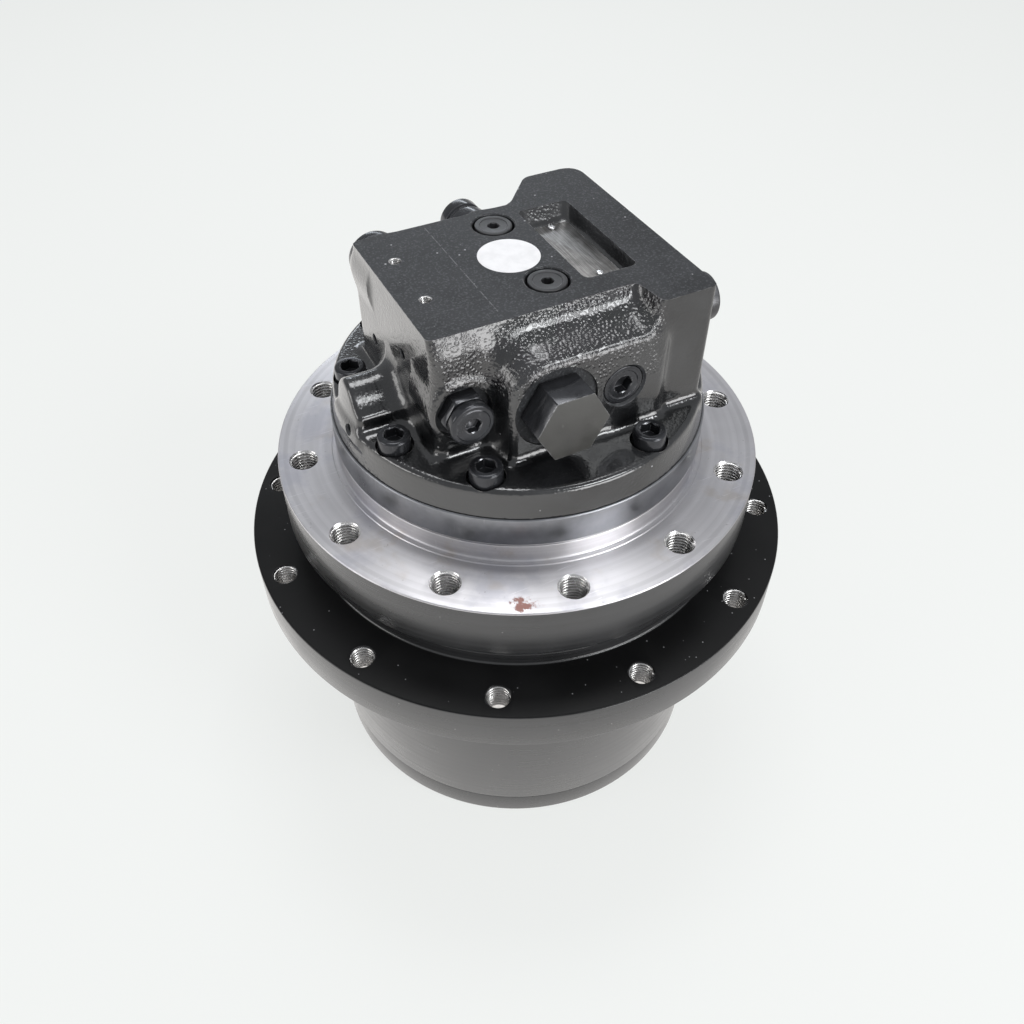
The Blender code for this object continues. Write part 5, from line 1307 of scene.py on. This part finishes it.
def spot_tool(radius, depth, place, direction, height, materials):
    """Cutter of a spot face: a flat-floored disc."""
    outline = [(0, -depth), (radius, -depth), (radius, height), (0, height)]
    return placed(turned("spot", outline, 64, materials), facing(place, direction))


def cap_screw_places():
    return [(CAP_SCREW_PCR * cos(radians(a)), CAP_SCREW_PCR * sin(radians(a)), CAP_SCREW_SEAT)
            for a in CAP_SCREW_ANGLES]


def head_tools(milled, thread):
    """Cutters of the head's spot faces, ports and holes."""
    tools = []
    for place in cap_screw_places():
        tools.append(spot_tool(0.0104, 0.0, place, UP, 0.0270, milled))
        tools.append(bore_tool(0.0063, 0.0200, place, UP, 0.0, 24, milled))
    big, relief, front = [(x, y, PORT_Z) for x, y in (
        (BIG_PLUG_X, -HEAD_FRONT), (RELIEF_X, -HEAD_Y), (FRONT_PLUG_X, -HEAD_FRONT))]
    side = (SIDE_SEAT_X, SIDE_PLUG_Y, BACK_Z)
    angle = radians(185)
    rim = (cos(angle), sin(angle), 0)
    for radius, depth, place, direction in (
            (0.0238, SPOT_DEPTH, big, FRONT), (0.0153, SPOT_DEPTH, relief, FRONT),
            (0.0136, 0.0, side, RIGHT)):
        tools.append(spot_tool(radius, depth, place, direction, 0.010, milled))
    for radius, depth, place, direction, mouth, segments in (
            (0.0163, 0.0200, big, FRONT, 0.0006, HOLE_SEGMENTS),
            (0.0093, 0.0220, relief, FRONT, 0.0005, HOLE_SEGMENTS),
            (0.0120, 0.0110, front, FRONT, 0.0007, HOLE_SEGMENTS),
            (0.0093, 0.0150, side, RIGHT, 0.0006, HOLE_SEGMENTS),
            (0.0103, 0.0100, (BACK_CAP_X, HEAD_Y, BACK_Z), BACK, 0.0006, HOLE_SEGMENTS),
            (0.0103, 0.0100, (BACK_FITTING_X, HEAD_Y, BACK_Z), BACK, 0.0006, HOLE_SEGMENTS),
            (0.0030, 0.0080, (-HEAD_X, 0.0292, 0.3129), LEFT, 0.0005, 24),
            (0.0030, 0.0080, (-HEAD_X, -0.0146, 0.3312), LEFT, 0.0005, 24),
            (0.0026, 0.0060, (0.1080 * rim[0], 0.1080 * rim[1], 0.2895), rim, 0.0004, 24),
            *((0.0120, 0.0106, (TOP_PLUG_X, y, HEAD_TOP), UP, 0.0006, 48) for y in TOP_PLUG_YS)):
        tools.append(bore_tool(radius, depth, place, direction, mouth, segments, milled))
    for x, y in TAPPED_HOLES:
        tools.append(bore_tool(TAPPED_BORE, 0.0110, (x, y, HEAD_TOP), UP, 0.0004, 24, thread))
    return tools


def build_head(sizes, paints):
    """Rear cover with its cast valve head, milled faces, ports, tapped holes and cap screws."""
    milled, thread = paints["milled_enamel"], paints["thread_steel"]
    vertices, faces = contour(lambda p: head_field(p, sizes.cast_fillet, sizes.cast_round),
                              CAST_LOW, CAST_HIGH, sizes.cast_grid)
    head = mesh_object("cast_head", vertices, faces, materials=(paints["cast_enamel"], milled))
    for face in head.data.polygons:
        z = face.center.z
        if (z > HEAD_TOP - 0.0001 and face.normal.z > 0.9) or z < REAR_BOTTOM + 0.0002:
            face.material_index = 1
    subtract(head, *head_tools((milled,), (thread,)))
    finished(head, MOTOR, "rear_cover", slot="black_paint", angle=radians(38))
    boss = turned("rear_boss", rounded([
        (BEARING_HOLE_R, REAR_BOSS_BOTTOM, 0.0006), (REAR_BOSS_R, REAR_BOSS_BOTTOM, 0.0012),
        (REAR_BOSS_R, REAR_BOSS_TOP, 0), (BEARING_HOLE_R, REAR_BOSS_TOP, 0)], 3), 96)
    finished(boss, MOTOR, materials=(milled,), slot="black_paint")
    build_threads("tapped_threads", [(x, y, HEAD_TOP - 0.0004) for x, y in TAPPED_HOLES], MOTOR,
                  TAPPED_BORE, TAPPED_PITCH, TAPPED_TURNS, thread, 16)

    screw = socket_screw("cap_screw", 0.0090, 0.0120, 0.0060, 0.0230, 0.0058, 0.0060)
    screws = repeated("cap_screws", placed(screw, raised(0.0003)), cap_screw_places(),
                      paints["gloss_screw"], radians(60))
    nodes = [f"cap_screw_{i + 1}" for i in range(len(CAP_SCREW_ANGLES))]
    finished(screws, MOTOR, *nodes, slot="black_steel")


# Plugs, valves and fittings
def flush_plug(name, radius, thickness, key_r, key_depth):
    """Screwed plug, its face level with z 0: a raised rim, a shallow dish and a hexagon socket."""
    plug = turned(name, rounded([
        (0, -0.0004, 0), (radius * 0.72, -0.0004, 0.0003), (radius * 0.76, 0.0, 0.0003),
        (radius, 0.0, 0.0006), (radius, -thickness, 0), (0, -thickness, 0)], 3), 64)
    return subtract(plug, hex_socket(key_r, key_depth, raised(-0.0004)))


def build_hexagons(sizes, paints):
    """Large hexagon plug with its worn face, and the body of the relief valve."""
    gloss = paints["gloss_screw"]
    big = bevel(prism("counterbalance_hex", ring_points(HEX, 0.0208), 0.0003, 0.0193), 0.0007, 2)
    unite(big, disc("collar", 0.0168, 0.0002, 0.0030), disc("stem", 0.0158, -0.0140, 0.0010))
    placed(big, facing((BIG_PLUG_X, -HEAD_FRONT + SPOT_DEPTH, PORT_Z), FRONT))
    finished(big, MOTOR, "counterbalance_plug", slot="black_steel",
             materials=(gloss, paints["plug_face"]),
             region=lambda centre, normal: int(normal[1] < -0.8 and centre[1] < -HEAD_FRONT - 0.01))

    body = prism("relief_hex", ring_points(HEX, 0.0132), 0.0003, 0.0088)
    cone = turned("cone", [(0, 0.0001), (0.0128, 0.0001), (0.0138, 0.0012), (0.0138, 0.0076),
                           (0.0122, 0.0090), (0, 0.0090)], 48)
    combine(body, [cone], "INTERSECT")
    unite(body, disc("stem", 0.0090, -0.0160, 0.0010), disc("neck", 0.0104, 0.0080, 0.0098))
    placed(bevel(body, 0.00025, 1), facing((RELIEF_X, -HEAD_Y + SPOT_DEPTH, PORT_Z), FRONT))
    finished(body, MOTOR, "relief_valve_body", materials=(gloss,), slot="black_steel")


def build_round_fittings(sizes, paints):
    """Relief valve's cap, side plug, spool cap, brake port fitting and the flush plugs."""
    gloss, worn, dark = paints["gloss_screw"], paints["worn_steel"], paints["dark_screw"]
    relief_cap = turned("relief_cap", rounded([
        (0, 0.0155, 0), (0.0090, 0.0155, 0.0003), (0.0096, 0.0152, 0.0003),
        (0.0121, 0.0152, 0.0012), (0.0121, 0.0099, 0.0010), (0, 0.0099, 0)]), 64)
    side = turned("side_cap", rounded([
        (0, -0.0110, 0), (0.0089, -0.0110, 0.0005), (0.0089, 0.0003, 0), (0.0130, 0.0003, 0.0004),
        (0.0130, 0.0083, 0.0014), (0, 0.0083, 0)]), 64)
    back = turned("back_cap", rounded([
        (0, -0.0085, 0), (0.0098, -0.0085, 0.0005), (0.0098, 0.0003, 0), (0.0148, 0.0003, 0.0004),
        (0.0148, 0.0063, 0.0016), (0, 0.0063, 0)]), 64)
    fitting = turned("fitting", rounded([
        (0, -0.0085, 0), (0.0098, -0.0085, 0.0005), (0.0098, 0.0003, 0), (0.0130, 0.0003, 0.0005),
        (0.0130, 0.0100, 0.0006), (0.0112, 0.0112, 0.0004), (0.0112, 0.0140, 0.0004),
        (0.0124, 0.0150, 0.0004), (0.0124, 0.0223, 0.0010), (0, 0.0223, 0)]), 64)
    subtract(relief_cap, hex_socket(0.0046, 0.0040, raised(0.0155)))
    subtract(side, hex_socket(0.0058, 0.0050, raised(0.0083)))
    subtract(back, hex_socket(0.0058, 0.0040, raised(0.0063)))
    subtract(fitting, bore_tool(0.0060, 0.0140, (0, 0, 0.0223), UP, 0.0012))
    front = flush_plug("front_port_face", 0.0116, 0.0090, 0.0056, 0.0055)
    for obj, place, direction, node, material, slot in (
            (relief_cap, (RELIEF_X, -HEAD_Y + SPOT_DEPTH, PORT_Z), FRONT, "relief_valve_cap", gloss,
             "black_steel"),
            (front, (FRONT_PLUG_X, -HEAD_FRONT + 0.0004, PORT_Z), FRONT, "front_port_plug", gloss,
             "black_steel"),
            (side, (SIDE_SEAT_X, SIDE_PLUG_Y, BACK_Z), RIGHT, "side_plug", worn, "dark_steel"),
            (back, (BACK_CAP_X, HEAD_Y, BACK_Z), BACK, "spool_cap", gloss, "black_steel"),
            (fitting, (BACK_FITTING_X, HEAD_Y, BACK_Z), BACK, "brake_port_fitting", gloss,
             "black_steel")):
        placed(obj, facing(place, direction))
        finished(obj, MOTOR, node, materials=(material,), slot=slot)
    top = flush_plug("top_plug", 0.0105, 0.0092, 0.0035, 0.0045)
    places = [(TOP_PLUG_X, y, HEAD_TOP - 0.0002) for y in TOP_PLUG_YS]
    plugs = repeated("top_plugs", top, places, dark, radians(40))
    finished(plugs, MOTOR, "top_port_plug_1", "top_port_plug_2", slot="black_steel")


# Plate and sticker
def build_nameplate(sizes, paints):
    """Bare plate with two drive rivets in the pocket of the head."""
    x, y = PLATE_HALF_X, PLATE_HALF_Y
    plate = prism("bare_plate", [(-x, -y), (x, -y), (x, y), (-x, y)], 0, PLATE_THICK)
    shape = bmesh.new()
    shape.from_mesh(plate.data)
    upright = [edge for edge in shape.edges if abs(edge.verts[0].co.z - edge.verts[1].co.z) > 1e-6]
    bmesh.ops.bevel(shape, geom=upright, offset=0.0016, segments=4, affect="EDGES", profile=0.5)
    shape.to_mesh(plate.data)
    shape.free()
    placed(bevel(plate, 0.00018, 2), Matrix.Translation((PLATE_X, PLATE_Y, PLATE_Z)))
    finished(plate, MOTOR, "nameplate", materials=(paints["plate_metal"],), slot="aluminium")
    rivet = turned("rivet", rounded([
        (0, -0.0010, 0), (0.0012, -0.0010, 0), (0.0012, 0, 0), (0.0023, 0, 0.0002),
        (0.0019, 0.0009, 0.0006), (0, 0.0013, 0)]), 24)
    places = [(PLATE_X + 0.0005, PLATE_Y + s * (PLATE_HALF_Y - 0.0032), PLATE_Z + PLATE_THICK)
              for s in (-1, 1)]
    rivets = repeated("plate_rivets", rivet, places, paints["bright_rivet"])
    finished(rivets, MOTOR, slot="bright_steel")


def build_sticker(sizes, paints):
    """Blank round sticker on the milled top, its edge slightly lifted."""
    radius = sizes.sticker_radius
    sticker = turned("round_sticker", [
        (0, -0.00002), (radius, -0.00002), (radius, 0.00016), (radius * 0.99, 0.00019),
        (radius * 0.9, 0.00016), (0, 0.00015)], 96)
    placed(sticker, Matrix.Translation((*STICKER_CENTRE, HEAD_TOP)))
    finished(sticker, MOTOR, materials=(paints["sticker_paper"],))


# Inner pieces
def build_planet_bushes(sizes, paints):
    """Bronze bushes on the planet pins, which stay with the pins."""
    for name, body, circle, inner, outer, bottom, top in (
            ("stage_1_bushes", FIRST_CARRIER, 0.0600, 0.0103, 0.0127, 0.0265, 0.0481),
            ("stage_2_bushes", MOTOR, 0.0660, 0.0133, 0.0157, 0.0618, 0.1014)):
        bush = turned("bush", rounded([(inner, bottom, 0.0004), (outer, bottom, 0.0004),
                                       (outer, top, 0.0004), (inner, top, 0.0004)], 2), 32)
        bushes = repeated(name, bush, ring_places((3, circle), 0), paints["bronze"])
        finished(bushes, body, slot="bronze")


def build_brake_spring(sizes, paints):
    """Coned disc spring over the brake piston; it flattens as the piston lifts."""
    low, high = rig.box("brake_spring")
    foot, crown, rim, corner = low[2], high[2], high[0], 0.0005
    spring = turned("disc_spring", rounded([
        (rim, foot, corner), (rim, foot + SPRING_THICK, corner), (SPRING_MOUTH_R, crown, corner),
        (SPRING_MOUTH_R, crown - SPRING_THICK, corner)], 3), 128)
    finished(spring, MOTOR, "brake_spring", materials=(paints["worn_steel"],), slot="dark_steel")
    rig.squash(spring, "brake_release", axis=(0, 0, 1), anchor=(0, 0, crown),
              keep=(crown - foot - BRAKE_LIFT) / (crown - foot))


def paint_inner_nodes(sizes, paints):
    """Gives every solid that stays shown its own procedural finish."""
    finishes = {"gear_steel": "gear_steel", "bright_steel": "ground_steel",
                "dark_steel": "worn_steel", "black_steel": "dark_screw",
                "black_paint": "charcoal_satin", "bronze": "bronze",
                "aluminium": "plate_metal", "rubber": "rubber"}
    for obj in frame["nodes"].values():
        if obj.hide_render:
            continue
        finish = paints[finishes[obj.data.materials[0].name]]
        for holder in obj.material_slots:
            holder.link = "OBJECT"
            holder.material = finish


# Stage and camera
def build_camera():
    a, e, r = CAMERA_AZIMUTH, CAMERA_ELEVATION, CAMERA_ROLL
    back = Vector((sin(a) * cos(e), -cos(a) * cos(e), sin(e)))
    level = Vector((cos(a), sin(a), 0.0))
    steep = back.cross(level)
    right, up = cos(r) * level + sin(r) * steep, cos(r) * steep - sin(r) * level
    camera = bpy.data.cameras.new("camera")
    camera.lens = CAMERA_LENS
    camera.sensor_width = CAMERA_SENSOR
    camera.clip_start, camera.clip_end = 0.01, 50.0
    obj = linked("camera", camera)
    obj.location = (Vector((0, 0, CAMERA_AIM_Z)) + CAMERA_DISTANCE * back + CAMERA_RIGHT * right
                    + CAMERA_UP * up)
    obj.rotation_mode = "QUATERNION"
    obj.rotation_quaternion = Matrix((right, up, back)).transposed().to_quaternion()
    bpy.context.scene.camera = obj


def area_light(name, place, aim_z, width, height, power, colour):
    light = bpy.data.lights.new(name, "AREA")
    light.energy = power
    light.color = colour
    light.shape = "RECTANGLE"
    light.size = width
    light.size_y = height
    obj = linked(name, light)
    obj.location = place
    obj.rotation_mode = "QUATERNION"
    obj.rotation_quaternion = (Vector(place) - Vector((0, 0, aim_z))).to_track_quat("Z", "Y")


def floor_material(colours):
    """Pale floor: it takes the shadow, looks close to even, and is brighter in reflections."""
    s = Finish("pale_floor", roughness=0.9, specular_ior_level=0.1)
    place = s.place()
    s.set(base_color=s.mixed(s.noise(place, 1.5), tint(colours.floor, 0.98), tint(colours.floor)))
    glow = s.node("Emission", "Emission", {"Color": (*colours.floor, 1.0), "Strength": 1.0})
    mirrored = s.node("Emission", "Emission", {
        "Color": (1.0, 0.985, 0.965, 1.0), "Strength": place.axis("X").span(-0.5, 0.5, 1.45, 0.85)})
    camera_ray = s.node("LightPath", "Is Camera Ray")
    seen = s.node("MixShader", "Shader", {"Fac": camera_ray * 0.80, 2: glow,
                                          1: Value(s, s.shader.outputs["BSDF"])})
    reflected = s.node("MixShader", "Shader", {"Fac": camera_ray.beside("Is Glossy Ray"), 1: seen,
                                               2: mirrored})
    s.feed(s.tree.nodes["Material Output"], {"Surface": reflected})
    return s.material


def build_world(colours):
    world = bpy.data.worlds.new("studio")
    bpy.context.scene.world = world
    world.use_nodes = True
    s = Shading(world.node_tree)
    background = s.tree.nodes["Background"]
    s.feed(background, {"Color": (0.80, 0.82, 0.85, 1.0), "Strength": 0.60})
    pale = s.node("Background", "Background", {"Color": (*colours.floor, 1.0)})
    choice = s.node("MixShader", "Shader", {"Fac": s.node("LightPath", "Is Camera Ray"), 2: pale,
                                            1: Value(s, background.outputs["Background"])})
    s.feed(s.tree.nodes["World Output"], {"Surface": choice})


def build_stage(colours):
    bpy.context.scene.view_settings.view_transform = "Standard"
    build_camera()
    build_world(colours)
    half, z = FLOOR_HALF, FLOOR_Z
    floor = mesh_object("pale_floor", [(-half, -half, z), (half, -half, z), (half, half, z),
                                       (-half, half, z)], [(0, 1, 2, 3)],
                        materials=(floor_material(colours),))
    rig.stage(floor)
    for light in (
            ("high_back", (0.24, 0.47, 1.90), 0.22, 0.9, 0.6, 12.0, (0.98, 0.99, 1.0)),
            ("back_window", (0.50, 1.60, 1.04), 0.22, 1.0, 0.15, 3.6, (0.88, 0.94, 1.0)),
            ("left_window", (-1.60, 0.15, 0.75), 0.22, 0.9, 0.6, 7.0, (1.0, 0.99, 0.97)),
            ("front_window", (0.58, -1.69, 0.36), 0.30, 1.2, 0.66, 17.0, (1.0, 1.0, 1.0)),
            ("high_front", (0.56, -1.22, 1.40), 0.22, 0.7, 0.4, 12.0, (0.97, 0.99, 1.0))):
        area_light(*light)


# Operators
class FinalDriveStep(Operator):
    """Base of the operators: runs its builders and reports what stopped them."""
    bl_options = {"REGISTER", "UNDO"}
    builders = ()

    def execute(self, context):
        scene = context.scene
        for builder in self.builders:
            try:
                builder(scene.final_drive_sizes, paints_of(scene.final_drive_colours))
            except RuntimeError as problem:
                raise RuntimeError(f"{self.bl_label}: {problem}") from problem
        return {"FINISHED"}


class FINALDRIVE_OT_stage(Operator):
    """Make the camera, the pale floor and the studio light"""
    bl_idname = "final_drive.stage"
    bl_label = "Make Stage"
    bl_options = {"REGISTER", "UNDO"}

    def execute(self, context):
        build_stage(context.scene.final_drive_colours)
        if context.scene.camera is None:
            raise RuntimeError("Make Stage: the scene has no camera")
        return {"FINISHED"}


class FINALDRIVE_OT_hub(FinalDriveStep):
    """Make the gear hub with its sprocket flange and its tapped holes"""
    bl_idname = "final_drive.hub"
    bl_label = "Make Gear Hub"
    builders = (build_gear_hub,)


class FINALDRIVE_OT_cover(FinalDriveStep):
    """Make the end cover with its bolts and oil plugs"""
    bl_idname = "final_drive.cover"
    bl_label = "Make End Cover"
    builders = (build_end_cover,)


class FINALDRIVE_OT_casing(FinalDriveStep):
    """Make the motor casing with its bare frame flange and tapped holes"""
    bl_idname = "final_drive.casing"
    bl_label = "Make Motor Casing"
    builders = (build_motor_casing,)


class FINALDRIVE_OT_head(FinalDriveStep):
    """Make the rear cover with its cast valve head and its cap screws"""
    bl_idname = "final_drive.head"
    bl_label = "Make Valve Head"
    builders = (build_head,)


class FINALDRIVE_OT_fittings(FinalDriveStep):
    """Make the plugs, valves and fittings that screw into the head"""
    bl_idname = "final_drive.fittings"
    bl_label = "Make Plugs and Valves"
    builders = (build_hexagons, build_round_fittings)


class FINALDRIVE_OT_plate(FinalDriveStep):
    """Make the bare nameplate with its rivets, and the blank sticker"""
    bl_idname = "final_drive.plate"
    bl_label = "Make Plate and Sticker"
    builders = (build_nameplate, build_sticker)


class FINALDRIVE_OT_inside(FinalDriveStep):
    """Make the planet bushes and the brake spring, and give the pieces inside their finishes"""
    bl_idname = "final_drive.inside"
    bl_label = "Finish Inner Pieces"
    builders = (build_planet_bushes, build_brake_spring, paint_inner_nodes)


STEPS = (FINALDRIVE_OT_stage, FINALDRIVE_OT_hub, FINALDRIVE_OT_cover, FINALDRIVE_OT_casing,
         FINALDRIVE_OT_head, FINALDRIVE_OT_fittings, FINALDRIVE_OT_plate, FINALDRIVE_OT_inside)


class FINALDRIVE_PT_panel(Panel):
    """Settings and steps of the final drive"""
    bl_idname = "FINALDRIVE_PT_panel"
    bl_label = "Final Drive"
    bl_space_type = "VIEW_3D"
    bl_region_type = "UI"
    bl_category = "Final Drive"

    def draw(self, context):
        layout = self.layout
        for title, group in (("Sizes", context.scene.final_drive_sizes),
                             ("Colours", context.scene.final_drive_colours)):
            box = layout.box()
            box.label(text=title)
            for name in group.bl_rna.properties.keys():
                if name not in {"rna_type", "name"}:
                    box.prop(group, name)
        for step in STEPS:
            layout.operator(step.bl_idname)


CLASSES = (FinalDriveSizes, FinalDriveColours, *STEPS, FINALDRIVE_PT_panel)


def register():
    for cls in CLASSES:
        bpy.utils.register_class(cls)
    bpy.types.Scene.final_drive_sizes = PointerProperty(type=FinalDriveSizes)
    bpy.types.Scene.final_drive_colours = PointerProperty(type=FinalDriveColours)


def unregister():
    del bpy.types.Scene.final_drive_colours
    del bpy.types.Scene.final_drive_sizes
    for cls in reversed(CLASSES):
        bpy.utils.unregister_class(cls)


def main():
    register()
    bpy.ops.final_drive.stage()
    bpy.ops.final_drive.hub()
    bpy.ops.final_drive.cover()
    bpy.ops.final_drive.casing()
    bpy.ops.final_drive.head()
    bpy.ops.final_drive.fittings()
    bpy.ops.final_drive.plate()
    bpy.ops.final_drive.inside()
    sizes = {"cad": [list(corner) for corner in CAD_BOX],
             "visual": [list(corner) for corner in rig.bounds()]}
    with open("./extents.json", "w") as target:
        json.dump(sizes, target)


if __name__ == "__main__":
    main()
